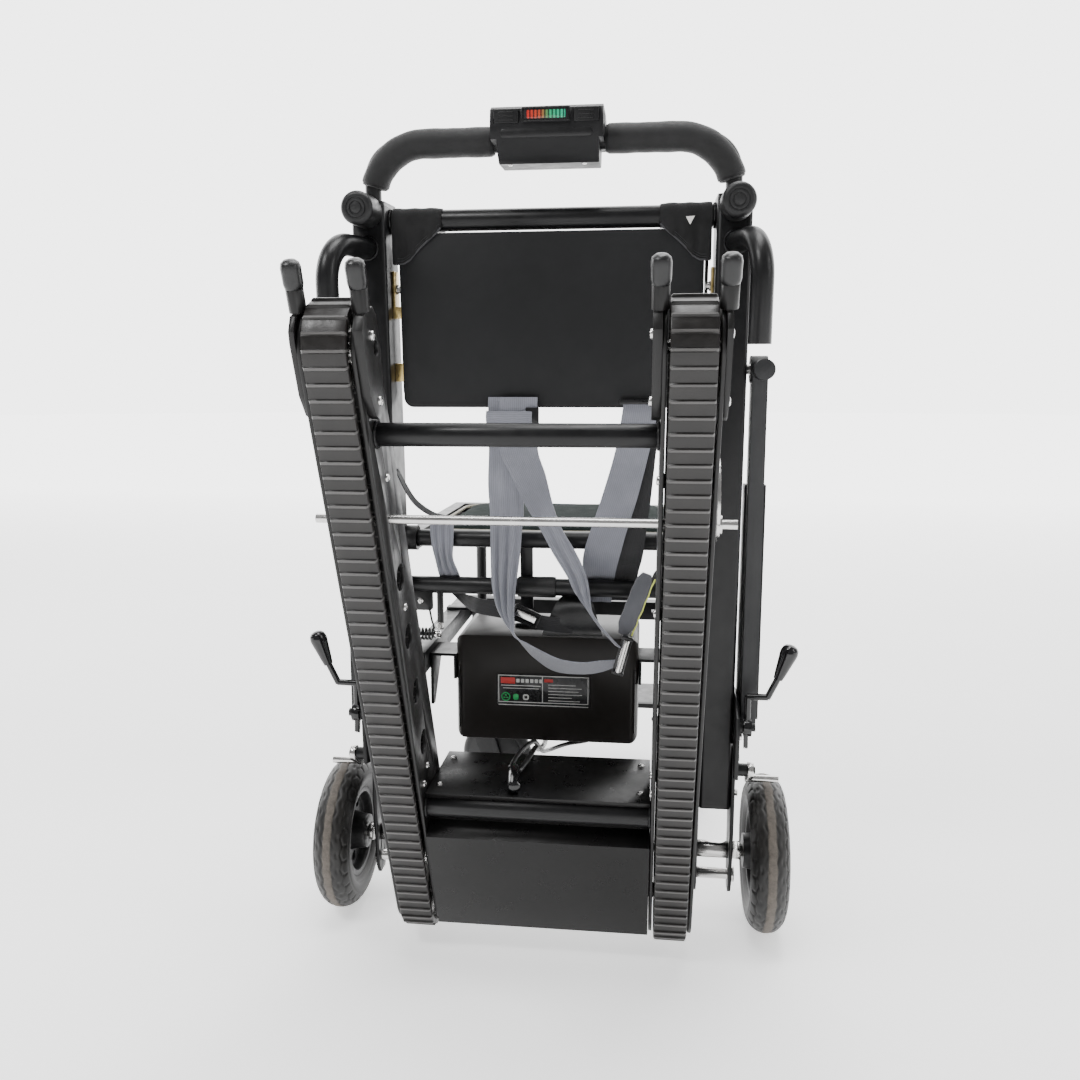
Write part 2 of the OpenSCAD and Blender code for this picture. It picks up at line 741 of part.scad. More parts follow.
// ---- seat ----
module seat_frame() {
    y0 = back_y - sin(back_lean) * seat_z;
    z0 = back_z + cos(back_lean) * seat_z;
    color(steel) place() {
        pair() difference() {
            union() {
                xcyl(172, 190, y0, z0, 16);
                translate([172, y0, z0 - 15]) cube([18, seat_depth, 22]);
            }
            xcyl(160, 200, y0, z0, seat_tube_r + run);
        }
        translate([-171.8, y0 + seat_depth - 24, z0 - 15]) cube([343.6, 24, 22]);
        for (y = [90, 190, 288]) translate([-171.8, y, z0 - 15]) cube([343.6, 16, 6.5]);
    }
}
module seat_pad() {
    y0 = back_y - sin(back_lean) * seat_z;
    z0 = back_z + cos(back_lean) * seat_z;
    color("#3c4844") place() translate([0, y0 + 21 + (seat_depth - 46) / 2, z0 - 8])
        round_box(seat_w, seat_depth - 50, 20, 18);
}

// ---- footrest ----
module footrest() {
    color(steel) place() {
        pair() {
            difference() {
                union() {
                    xcyl(136, 146, 418, 330, 10);
                    yz(138, 144) polygon([[410, 330], [426, 330], [443, 160], [443, 142], [428, 142],
                        [426, 166]]);
                }
                xcyl(130, 150, 418, 330, 6 + run);
            }
        }
        translate([-150, 430, 142]) cube([300, 120, 8]);
    }
}

// ---- straps, buckles and small parts ----
module straps_left() {
    color(webbing) place() ribbon([[-58, 662, 36], [-58, 600, 34], [-56, 520, 30], [-52, 460, 20],
        [-44, 420, 24], [-22, 384, 30], [0, 371, 30]], -41, -38.5);
    color(webbing) place() ribbon([[-46, 662, 34], [-30, 600, 34], [-8, 520, 30], [16, 460, 24],
        [32, 420, 22], [46, 384, 20]], -47, -44.5);
}
module strap_right() {
    color(webbing) place() ribbon([[92, 662, 40], [84, 600, 38], [72, 520, 36], [58, 440, 34],
        [44, 425, 30]], -36, -33.5);
}
module buckles() {
    color(black) place() {
        translate([-84, -52, 664]) cube([58, 8, 18]);
        translate([70, -52, 664]) cube([46, 8, 18]);
        translate([44, -56, 352]) rotate([0, 24, 0]) cube([16, 6, 42]);
        translate([-42, -36, 436]) cube([50, 10, 14]);
    }
}
// Small spring lock of the seat at the left main tube.
module spring_latch() {
    color(bright) place() {
        translate([-186, -14, 420]) cube([22, 5, 12]);
        bar([-168, -12, 421], [-168, -12, 392], 2);
        for (i = [0:5]) translate([-190 + i * 4, -12, 386]) rotate([0, 90, 0]) difference() {
            cylinder(h = 2.6, r = 9);
            translate([0, 0, -1]) cylinder(h = 5, r = 6);
        }
        xcyl(-190, -160, -12, 386, 6.2);
        xcyl(-162, -152, -12, 386, 8);
        translate([-158, -15, 372]) cube([7, 7, 66]);
    }
}
module chair_bolts() {
    color(bright) in_back() pair() mirror([1, 0, 0]) {
        for (z = [671, 572]) bolt_x(-tube_in + 3.3, 6, z, 4);
        xcyl(-tube_in + 0.2, -tube_in + 3.2, -8, 331, 8);
    }
    color(bright) place() pair() {
        for (q = [[16, 266], [-8, 266], [-32, 268]]) bolt_x(tube_out + 4.9, q[0], q[1], 4);
        for (q = [[-10, 232], [12, 232], [0, 180]]) bolt_x(tube_out + 4.9, q[0], q[1], 4);
        // Pivot pins of the armrests
        xcyl(tube_out + 0.2, 260, arm_pivot.x, arm_pivot.y, 6);
        xcyl(259.6, 262, arm_pivot.x, arm_pivot.y, 9);
    }
}

side_tube_l();
side_tube_r();
back_top_tube();
low_cross_tubes();
loop_handles();
rear_grips();
tube_bushings();
back_board();
back_cushion();
corner_pockets();
back_brackets();
axle_plates();
rear_axle();
base_frame();
front_legs();
seat_posts();
battery_case();
battery_label();
battery_bracket();
brake_brackets();
chair_bolts();
straps_left();
strap_right();
buckles();
spring_latch();
track_plates_l();
track_plates_r();
belt_l();
belt_r();
guard_posts();
guard_caps();
track_tubes();
drive_housing();
drive_motor();
power_cables();
drive_axle();
idlers();
release_bar();
tyre_l();
tyre_r();
hub_l();
hub_r();
caster_fork_l();
caster_fork_r();
caster_wheel_l();
caster_wheel_r();
brake_lever_l();
brake_lever_r();
brake_shoe_l();
brake_shoe_r();
handle_bar();
foam_sleeves();
control_box();
key_up();
key_down();
armrest_l();
armrest_r();
seat_frame();
seat_pad();
footrest();
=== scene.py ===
import json
import math
from math import cos, pi, radians, sin

import bmesh
import bpy
import numpy as np
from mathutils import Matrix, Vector


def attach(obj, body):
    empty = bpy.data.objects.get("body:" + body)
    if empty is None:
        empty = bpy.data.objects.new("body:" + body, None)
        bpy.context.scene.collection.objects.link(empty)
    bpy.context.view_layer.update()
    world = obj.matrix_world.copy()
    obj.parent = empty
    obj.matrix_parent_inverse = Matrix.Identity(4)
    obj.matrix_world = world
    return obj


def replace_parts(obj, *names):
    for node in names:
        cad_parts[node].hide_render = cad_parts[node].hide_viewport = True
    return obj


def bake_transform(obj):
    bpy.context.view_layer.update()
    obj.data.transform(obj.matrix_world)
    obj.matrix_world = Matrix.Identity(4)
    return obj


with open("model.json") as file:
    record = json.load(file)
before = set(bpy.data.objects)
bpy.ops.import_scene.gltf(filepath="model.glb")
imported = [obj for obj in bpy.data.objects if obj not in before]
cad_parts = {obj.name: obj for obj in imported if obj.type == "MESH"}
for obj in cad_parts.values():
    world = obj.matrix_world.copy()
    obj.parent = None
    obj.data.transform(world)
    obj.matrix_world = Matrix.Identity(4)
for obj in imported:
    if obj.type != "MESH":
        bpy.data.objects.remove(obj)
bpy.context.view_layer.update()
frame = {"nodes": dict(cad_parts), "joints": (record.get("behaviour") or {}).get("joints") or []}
NODES = frame["nodes"]
JOINTS = {j["name"]: j for j in frame["joints"]}
scene = bpy.context.scene
AXLE = JOINTS["track_fold"]["pos_m"]
FRAME_Y = AXLE[1]


# ---- places: the chair's own axes, in millimetres, to the row frame in metres ----
def at(x, y, z):
    return np.array([x / 1000, y / 1000 + FRAME_Y, z / 1000])


def lean(x, y, z, y0, z0, deg):
    c, s = cos(radians(deg)), sin(radians(deg))
    return at(x, y0 + y * c - z * s, z0 + y * s + z * c)


def back(x, y, z):
    return lean(x, y, z, 8.5, 150, 3)


def trk(x, y, z):
    return lean(x, y, z, 0, AXLE[2] * 1000, 22)


def wheel_x():
    return JOINTS["wheel_spin_r"]["pos_m"][0] * 1000


# Directions of the leaning back frame, and the axes of a block that faces up, rearward, or rearward on it
BACK_LEAN = radians(3)
XA = np.array([1.0, 0, 0])
UP = np.array([0, -sin(BACK_LEAN), cos(BACK_LEAN)])
FWD = np.array([0, cos(BACK_LEAN), sin(BACK_LEAN)])
REAR = -FWD
LEVEL = [XA, [0, 1, 0], [0, 0, 1]]
FACING = [XA, [0, 0, 1], [0, -1, 0]]
LEANING = [XA, UP, REAR]


def turn(n):
    """n angles evenly round one turn."""
    return np.linspace(0, 2 * pi, n, endpoint=False)


# ---- camera ----
def make_camera():
    az, el = radians(6.5), radians(9.0)
    back_dir = Vector((sin(az) * cos(el), -cos(az) * cos(el), sin(el)))
    cam = bpy.data.objects.new("camera", bpy.data.cameras.new("camera"))
    scene.collection.objects.link(cam)
    cam.location = (0.1202, -1.2675, 0.6988)
    cam.rotation_mode = "QUATERNION"
    cam.rotation_quaternion = (-back_dir).to_track_quat("-Z", "Y")
    cam.data.lens = 31.59
    cam.data.sensor_width = 36
    cam.data.clip_start = 0.05
    cam.data.clip_end = 200
    scene.camera = cam


make_camera()


# ---- materials ----
class Nodes:
    """Short ways to build one material's nodes."""

    def __init__(self, name):
        self.m = bpy.data.materials.new(name)
        self.m.use_nodes = True
        self.t = self.m.node_tree
        self.b = self.t.nodes["Principled BSDF"]
        self.geo = self.new("ShaderNodeTexCoord").outputs["Object"]

    def new(self, kind, **sets):
        n = self.t.nodes.new(kind)
        for k, v in sets.items():
            if k.startswith("i_"):
                n.inputs[k[2:].replace("_", " ")].default_value = v
            else:
                setattr(n, k, v)
        return n

    def link(self, a, b):
        self.t.links.new(a, b)

    def noise(self, scale, detail=3, rough=0.5, stretch=None):
        n = self.new("ShaderNodeTexNoise", i_Scale=scale, i_Detail=detail, i_Roughness=rough)
        v = self.geo
        if stretch:
            mp = self.new("ShaderNodeMapping")
            mp.inputs["Scale"].default_value = stretch
            self.link(v, mp.inputs["Vector"])
            v = mp.outputs[0]
        self.link(v, n.inputs["Vector"])
        return n.outputs["Fac"]

    def math(self, op, a, b=None):
        n = self.new("ShaderNodeMath", operation=op)
        for i, v in enumerate((a, b)):
            if v is None:
                continue
            if isinstance(v, (int, float)):
                n.inputs[i].default_value = v
            else:
                self.link(v, n.inputs[i])
        return n.outputs[0]

    def mul(self, a, b):
        return self.math("MULTIPLY", a, b)

    def add(self, a, b):
        return self.math("ADD", a, b)

    def sub(self, a, b):
        return self.math("SUBTRACT", a, b)

    def sine(self, a):
        return self.math("SINE", a)

    def absolute(self, a):
        return self.math("ABSOLUTE", a)

    def put(self, socket, value):
        self.b.inputs[socket].default_value = value

    def feed(self, socket, source):
        self.link(source, self.b.inputs[socket])

    def ramp(self, fac, stops):
        r = self.new("ShaderNodeValToRGB")
        e = r.color_ramp.elements
        while len(e) < len(stops):
            e.new(0.5)
        for k, (p, c) in enumerate(stops):
            e[k].position = p
            e[k].color = (*c, 1) if len(c) == 3 else c
        self.link(fac, r.inputs[0])
        return r.outputs[0]

    def remap(self, fac, a, b, lo, hi):
        n = self.new("ShaderNodeMapRange")
        self.link(fac, n.inputs[0])
        for i, v in enumerate((a, b, lo, hi)):
            n.inputs[i + 1].default_value = v
        return n.outputs[0]

    def mix(self, fac, a, b):
        n = self.new("ShaderNodeMix", data_type="RGBA")
        self.link(fac, n.inputs[0])
        for i, v in ((6, a), (7, b)):
            if isinstance(v, tuple):
                n.inputs[i].default_value = (*v, 1)
            else:
                self.link(v, n.inputs[i])
        return n.outputs[2]

    def bump(self, height, strength, distance, prev=None):
        n = self.new("ShaderNodeBump", i_Strength=strength, i_Distance=distance)
        self.link(height, n.inputs["Height"])
        if prev is not None:
            self.link(prev, n.inputs["Normal"])
        return n.outputs[0]


def tint(c, k):
    return tuple(min(1.0, v * k) for v in c)


def surface(name, color, rough, metal=0.0, vary=0.25, grain=900, grain_m=0.00006, patch=14, spec=0.5,
            rough_vary=0.08, sheen=0.0, brushed=None, scuff=0.0):
    """A plain solid finish: slow colour patches, uneven gloss, and a fine surface texture."""
    n = Nodes(name)
    slow = n.noise(patch, 4, 0.6)
    col = n.ramp(slow, [(0.3, tint(color, 1 - vary)), (0.7, tint(color, 1 + vary))])
    if scuff:
        marks = n.noise(60, 8, 0.75, stretch=(1, 1, 0.25))
        fac = n.remap(marks, 0.62, 0.74, 0, scuff)
        col = n.mix(fac, col, tint(color, 5))
    n.feed("Base Color", col)
    rv = n.noise(patch * 4, 5, 0.65)
    n.feed("Roughness", n.remap(rv, 0.3, 0.7, rough - rough_vary, rough + rough_vary))
    fine = n.noise(grain, 2, 0.5, stretch=brushed)
    n.feed("Normal", n.bump(fine, 0.6, grain_m))
    n.put("Metallic", metal)
    n.put("Specular IOR Level", spec)
    n.put("Sheen Weight", sheen)
    return n.m


M = {
    "powder": surface("powder_coat", (0.0055, 0.0055, 0.006), 0.36, grain=1300, grain_m=0.00004, spec=0.30),
    "plate": surface("plate_coat", (0.007, 0.0067, 0.0067), 0.40, grain=1600, grain_m=0.00005, spec=0.35,
                     scuff=0.10),
    "housing": surface("housing_coat", (0.005, 0.0048, 0.0048), 0.32, grain=700, grain_m=0.00004,
                       spec=0.24),
    "bright": surface("bright_steel", (0.62, 0.61, 0.60), 0.22, metal=1.0, vary=0.12, grain=500,
                      brushed=(1, 14, 14), grain_m=0.00003, rough_vary=0.07),
    "brass": surface("zinc_yellow", (0.62, 0.47, 0.20), 0.32, metal=1.0, vary=0.2, patch=60),
    "rubber": surface("black_rubber", (0.008, 0.008, 0.0085), 0.44, grain=1500, grain_m=0.00009, spec=0.4),
    "cap": surface("cap_rubber", (0.006, 0.006, 0.0065), 0.33, grain=1800, grain_m=0.00005, spec=0.45),
    # belt rubber: near-black, with a warm brown tint that is a painted reflection; the random patches and
    # scuff marks are tone and wear
    "belt": surface("belt_rubber", (0.0105, 0.0092, 0.0086), 0.36, grain=1100, grain_m=0.00012, spec=0.42,
                    vary=0.35, patch=30, scuff=0.16),
    # belt rib crests: a lighter colour that is a painted highlight, standing in for light catching the rib
    # tops
    "rib": surface("belt_rib_painted_highlight", (0.085, 0.082, 0.080), 0.38, grain=1100, grain_m=0.00008, spec=0.45,
                   vary=0.3),
    "box": surface("box_shell", (0.0075, 0.0075, 0.0082), 0.46, grain=1500, grain_m=0.00008, spec=0.22),
    "foam": surface("foam_grip", (0.0095, 0.0094, 0.0098), 0.60, grain=2600, grain_m=0.00025, spec=0.3,
                    sheen=0.12, patch=40),
    "gloss": surface("gloss_plastic", (0.006, 0.006, 0.0065), 0.13, grain=300, grain_m=0.00002, spec=0.5,
                     rough_vary=0.04),
    "satin": surface("satin_plastic", (0.0065, 0.0065, 0.007), 0.32, grain=1500, grain_m=0.00006,
                     spec=0.42),
    "board": surface("board_face", (0.0105, 0.0108, 0.0115), 0.55, grain=2200, grain_m=0.0001, spec=0.22,
                     vary=0.12),
    "arm": surface("arm_grey", (0.018, 0.0183, 0.0195), 0.5, grain=2000, grain_m=0.0001, spec=0.35),
    "cast": surface("cast_grey", (0.20, 0.20, 0.21), 0.55, metal=0.6, grain=900, grain_m=0.0002),
    "jacket": surface("cable_jacket", (0.010, 0.010, 0.010), 0.3, grain=900, spec=0.45),
    "hub": surface("hub_plastic", (0.009, 0.009, 0.0095), 0.40, grain=1300, grain_m=0.00008, spec=0.4),
    "white": surface("print_white", (0.62, 0.62, 0.60), 0.4, vary=0.05),
    "red": surface("print_red", (0.55, 0.035, 0.03), 0.4, vary=0.1),
    "green": surface("print_green", (0.03, 0.42, 0.12), 0.4, vary=0.1),
    "label": surface("label_face", (0.016, 0.016, 0.017), 0.28, vary=0.1),
    "tag": surface("white_tag", (0.75, 0.73, 0.70), 0.8, vary=0.06, grain=1800, grain_m=0.0001),
    "beige": surface("beige_band", (0.26, 0.235, 0.175), 0.55, grain=1500, grain_m=0.00012, vary=0.2),
    "dark_thread": surface("dark_thread", (0.03, 0.03, 0.033), 0.7, grain=2500, grain_m=0.0001),
    "case": surface("battery_shell", (0.0165, 0.0140, 0.0128), 0.40, grain=1100, grain_m=0.00005, spec=0.26,
                    vary=0.08, rough_vary=0.02),
    "lime": surface("lime_edge", (0.55, 0.60, 0.12), 0.6, vary=0.2),
}


def tyre_material():
    n = Nodes("tyre_tread")
    sep = n.new("ShaderNodeSeparateXYZ")
    n.link(n.geo, sep.inputs[0])
    off = n.absolute(n.sub(n.absolute(sep.outputs[0]), wheel_x() / 1000))
    wob = n.mul(n.noise(45, 4, 0.6), 0.004)
    stripe = n.remap(n.sub(off, wob), 0.0022, 0.0042, 1.0, 0.0)
    ry = n.sub(sep.outputs[1], FRAME_Y)
    rz = n.sub(sep.outputs[2], AXLE[2])
    r = n.math("SQRT", n.add(n.mul(ry, ry), n.mul(rz, rz)))
    outer = n.remap(r, 0.0965, 0.0985, 0, 1)
    dust = n.remap(n.noise(160, 6, 0.7), 0.35, 0.7, 0.5, 1.0)
    fac = n.mul(n.mul(stripe, outer), dust)
    base = n.ramp(n.noise(25, 5, 0.6), [(0.3, (0.012, 0.012, 0.012)), (0.7, (0.024, 0.0225, 0.021))])
    n.feed("Base Color", n.mix(fac, base, (0.155, 0.135, 0.115)))
    n.feed("Roughness", n.remap(fac, 0, 1, 0.46, 0.8))
    n.feed("Normal", n.bump(n.noise(1500, 3), 0.6, 0.00012))
    n.put("Specular IOR Level", 0.4)
    return n.m


def webbing_material(name, color, rough=0.62):
    """Seat-belt weave: fine lengthwise cords with a diagonal twill, from the strip's own UV in metres; the
    weave's hollows are darkened as painted shade.
    """
    n = Nodes(name)
    uv = n.new("ShaderNodeUVMap").outputs[0]
    sep = n.new("ShaderNodeSeparateXYZ")
    n.link(uv, sep.inputs[0])
    u, v = sep.outputs[0], sep.outputs[1]
    cords = n.sine(n.mul(u, 2 * pi / 0.0024))
    zig = n.absolute(n.sine(n.mul(u, pi / 0.0048)))
    twill = n.sine(n.mul(n.add(v, n.mul(zig, 0.003)), 2 * pi / 0.0016))
    h = n.add(n.mul(cords, 0.5), n.mul(twill, 0.35))
    weave_shade = n.remap(h, -0.9, 0.9, 0.0, 1.0)
    slow = n.ramp(n.noise(18, 4, 0.6), [(0.3, tint(color, 0.85)), (0.7, tint(color, 1.15))])
    # darken the colour where the cords and twill dip: painted shade in the weave's hollows
    dark = n.new("ShaderNodeMix", data_type="RGBA", blend_type="MULTIPLY")
    dark.inputs[0].default_value = 0.6
    n.link(slow, dark.inputs[6])
    n.link(n.ramp(weave_shade, [(0, (0.45, 0.45, 0.45)), (1, (1, 1, 1))]), dark.inputs[7])
    n.feed("Base Color", dark.outputs[2])
    n.feed("Normal", n.bump(h, 0.7, 0.00025))
    n.put("Roughness", rough)
    n.put("Sheen Weight", 0.25)
    n.put("Specular IOR Level", 0.35)
    return n.m


def cloth_material(name, color, pitch=0.0011, rough=0.75, sheen=0.3, spec=0.25, depth=0.0002):
    """Plain woven cloth from crossed waves in object space, so it needs no UV; the low parts of the weave
    are darkened as painted shade.
    """
    n = Nodes(name)
    sep = n.new("ShaderNodeSeparateXYZ")
    n.link(n.geo, sep.inputs[0])
    k = 2 * pi / pitch
    a = n.sine(n.mul(n.add(sep.outputs[0], sep.outputs[1]), k))
    b = n.sine(n.mul(sep.outputs[2], k))
    w = n.mul(a, b)
    slow = n.ramp(n.noise(22, 5, 0.6), [(0.3, tint(color, 0.75)), (0.7, tint(color, 1.25))])
    # colour darker where the crossed waves dip: painted shade in the weave's hollows, over random slow
    # patches
    n.feed("Base Color", n.mix(n.remap(w, -1, 1, 0, 1), tuple(tint(color, 0.6)), slow))
    crease = n.bump(n.noise(40, 5, 0.6), 0.35, 0.002)
    n.feed("Normal", n.bump(w, 0.6, depth, crease))
    n.feed("Roughness", n.remap(n.noise(60, 4), 0.3, 0.7, rough - 0.08, rough + 0.08))
    n.put("Sheen Weight", sheen)
    n.put("Specular IOR Level", spec)
    return n.m


def vinyl_material(name, color, rough=0.42, spec=0.45):
    """Grained artificial leather: small cells with creases between them, the creases darkened as painted
    shade.
    """
    n = Nodes(name)
    cell = n.new("ShaderNodeTexVoronoi", feature="DISTANCE_TO_EDGE", i_Scale=420.0)
    n.link(n.geo, cell.inputs["Vector"])
    grain = n.remap(cell.outputs["Distance"], 0.0, 0.25, 0, 1)
    slow = n.ramp(n.noise(12, 5, 0.6), [(0.3, tint(color, 0.8)), (0.7, tint(color, 1.2))])
    # creases between the cells get a darker colour: painted shade
    n.feed("Base Color", n.mix(grain, tuple(tint(color, 0.5)), slow))
    crease = n.bump(n.noise(30, 5, 0.6), 0.25, 0.0015)
    n.feed("Normal", n.bump(grain, 0.5, 0.00015, crease))
    n.feed("Roughness", n.remap(n.noise(50, 4), 0.3, 0.7, rough - 0.07, rough + 0.07))
    n.put("Specular IOR Level", spec)
    return n.m


def screen_material():
    """Battery gauge: a row of cells that run from red to green."""
    n = Nodes("gauge")
    sep = n.new("ShaderNodeSeparateXYZ")
    n.link(n.geo, sep.inputs[0])
    x = n.remap(sep.outputs[0], -0.021, 0.021, 0, 1)
    col = n.ramp(x, [(0.0, (0.42, 0.02, 0.015)), (0.35, (0.36, 0.05, 0.02)), (0.5, (0.10, 0.16, 0.05)),
                     (0.62, (0.01, 0.30, 0.13)), (1.0, (0.01, 0.36, 0.2))])
    cells = n.sine(n.mul(sep.outputs[0], 2 * pi / 0.0042))
    lit = n.remap(cells, -0.5, 0.1, 0.15, 1.0)
    out = n.mix(lit, (0.01, 0.01, 0.01), col)
    n.feed("Base Color", out)
    n.feed("Emission Color", out)
    n.put("Emission Strength", 0.22)
    n.put("Roughness", 0.08)
    return n.m


M["tyre"] = tyre_material()
M["webbing"] = webbing_material("grey_webbing", (0.235, 0.242, 0.280))
M["dark_webbing"] = webbing_material("dark_webbing", (0.010, 0.010, 0.0115))
M["cloth"] = cloth_material("black_cloth", (0.0075, 0.0075, 0.008), sheen=0.12)
M["sleeve_cloth"] = cloth_material("sleeve_cloth", (0.10, 0.102, 0.115), pitch=0.0016)
M["seat"] = vinyl_material("seat_vinyl", (0.022, 0.030, 0.028), 0.85, 0.04)
M["cushion"] = vinyl_material("cushion_vinyl", (0.008, 0.008, 0.0085), 0.45)
M["gauge"] = screen_material()


# ---- mesh building ----
def rounded(w, d, r, n=4):
    """Points of a rounded rectangle, counter-clockwise, in metres."""
    out = []
    for sx, sy, a0 in ((1, 1, 0), (-1, 1, 90), (-1, -1, 180), (1, -1, 270)):
        for k in range(n + 1):
            a = radians(a0 + 90 * k / n)
            out.append((sx * (w / 2 - r) + r * cos(a), sy * (d / 2 - r) + r * sin(a)))
    return np.array(out)


def basis(axis):
    a = np.array(axis, float)
    a /= np.linalg.norm(a)
    h = np.array([0, 0, 1.0]) if abs(a[2]) < 0.9 else np.array([0, 1.0, 0])
    u = np.cross(h, a)
    u /= np.linalg.norm(u)
    return u, np.cross(a, u), a


def smooth_path(p, k=8):
    """Catmull-Rom through the rows of p; rows may hold any numbers."""
    p = np.array(p, float)
    q = np.vstack([2 * p[0] - p[1], p, 2 * p[-1] - p[-2]])
    out = []
    for i in range(1, len(q) - 2):
        a, b, c, d = q[i - 1], q[i], q[i + 1], q[i + 2]
        for t in np.arange(k) / k:
            out.append(0.5 * (2 * b + (c - a) * t + (2 * a - 5 * b + 4 * c - d) * t ** 2
                              + (3 * b - a - 3 * c + d) * t ** 3))
    out.append(p[-1])
    return np.array(out)


def smooth_faces(me):
    me.polygons.foreach_set("use_smooth", [True] * len(me.polygons))


def finished(name, me, body, sharp):
    """An object of a new mesh: faces outward, smooth but for edges over sharp degrees, riding body."""
    bm = bmesh.new()
    bm.from_mesh(me)
    bmesh.ops.recalc_face_normals(bm, faces=bm.faces)
    bm.to_mesh(me)
    bm.free()
    smooth_faces(me)
    me.set_sharp_from_angle(angle=radians(sharp))
    me.update()
    o = bpy.data.objects.new(name, me)
    scene.collection.objects.link(o)
    if body:
        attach(o, body)
    return o


class Bag:
    """Collects closed lofted solids, then makes one object of them."""

    def __init__(self):
        self.v, self.f, self.m = [], [], []

    def loft(self, rings, m=0, caps=True, closed=False):
        k, rows, n = len(self.v), len(rings), len(rings[0])
        for ring in rings:
            self.v.extend(tuple(float(c) for c in p) for p in ring)
        for i in range(rows if closed else rows - 1):
            for j in range(n):
                i2, j2 = (i + 1) % rows, (j + 1) % n
                self.f.append((k + i * n + j, k + i * n + j2, k + i2 * n + j2, k + i2 * n + j))
                self.m.append(m)
        if caps and not closed:
            self.f.append(tuple(k + j for j in reversed(range(n))))
            self.f.append(tuple(k + (rows - 1) * n + j for j in range(n)))
            self.m += [m, m]
        return self

    def revolve(self, profile, origin, axis, n=32, m=0, closed=False):
        """profile is [(r, h)] in mm along axis from origin."""
        u, v, a = basis(axis)
        rings = []
        for r, h in profile:
            r = max(r, 0.02) / 1000
            rings.append([origin + a * h / 1000 + r * (u * cos(t) + v * sin(t))
                          for t in turn(n)])
        return self.loft(rings, m, caps=not closed, closed=closed)

    def tube(self, path, r, n=14, m=0, closed=False, ends=True):
        """r is one radius in mm, or one per point."""
        p = np.array(path, float)
        rs = np.full(len(p), r, float) if np.isscalar(r) else np.array(r, float)
        t = np.roll(p, -1, 0) - np.roll(p, 1, 0)
        if not closed:
            t[0], t[-1] = p[1] - p[0], p[-1] - p[-2]
        t /= np.linalg.norm(t, axis=1)[:, None]
        u = basis(t[0])[0]
        rings = []
        for i in range(len(p)):
            u = u - t[i] * (u @ t[i])
            u /= np.linalg.norm(u)
            w = np.cross(t[i], u)
            rings.append([p[i] + rs[i] / 1000 * (u * cos(a) + w * sin(a))
                          for a in turn(n)])
        if ends and not closed:
            def shrink(ring, c, k, d):
                return [c + (q - c) * k + d for q in ring]
            e = rs[0] / 1000 * 0.25
            f = rs[-1] / 1000 * 0.25
            first, last = rings[0], rings[-1]
            rings = ([shrink(first, p[0], 0.72, 0), shrink(first, p[0], 0.94, t[0] * e * 0.3),
                      shrink(first, p[0], 1, t[0] * e)] + rings[1:-1]
                     + [shrink(last, p[-1], 1, -t[-1] * f), shrink(last, p[-1], 0.94, -t[-1] * f * 0.3),
                        shrink(last, p[-1], 0.72, 0)])
        return self.loft(rings, m, closed=closed)

    def box(self, centre, size, r=1.0, m=0, axes=None, edge=None):
        """A block in mm with rounded edges: size along the three axes, which are unit vectors."""
        ax = np.eye(3) if axes is None else np.array(axes, float)
        w, d, h = [s / 1000 for s in size]
        r = min(r / 1000, w / 2.05, d / 2.05)
        e = min(r if edge is None else edge / 1000, h / 2.05)
        rings = []
        for ins, z in ((e, 0), (e * 0.3, e * 0.3), (0, e), (0, h - e), (e * 0.3, h - e * 0.3), (e, h)):
            q = rounded(w - 2 * ins, d - 2 * ins, max(r - ins, r * 0.35))
            rings.append([centre + ax[0] * p[0] + ax[1] * p[1] + ax[2] * (z - h / 2) for p in q])
        return self.loft(rings, m)

    def screw(self, p, axis, r, h, kind="pan"):
        """A screw head: a pan head with a sunk middle, or a hex head on its flange."""
        p = np.array(p, float)
        if kind == "hex":
            self.revolve([(r * 1.45, 0), (r * 1.45, 0.9), (r * 1.3, 1.1)], p, axis, 24)
            u, v, a = basis(axis)
            rings = []
            for k, z in ((1.0, 1.0), (1.0, h + 1.2), (0.86, h + 1.8)):
                rings.append([p + a * z / 1000 + r * k / 1000 * (u * cos(t) + v * sin(t))
                              for t in turn(6)])
            return self.loft(rings)
        prof = [(r, 0), (r, h * 0.35), (r * 0.9, h * 0.75), (r * 0.6, h), (r * 0.32, h),
                (r * 0.25, h * 0.45), (0, h * 0.4)]
        return self.revolve(prof, p, axis, 20)

    def make(self, name, mats, body, slot=None, sharp=38):
        me = bpy.data.meshes.new(name)
        me.from_pydata(self.v, [], self.f)
        for mat in mats if isinstance(mats, (list, tuple)) else [mats]:
            me.materials.append(M[mat])
        me.polygons.foreach_set("material_index", self.m)
        return finished(name, me, body, sharp)


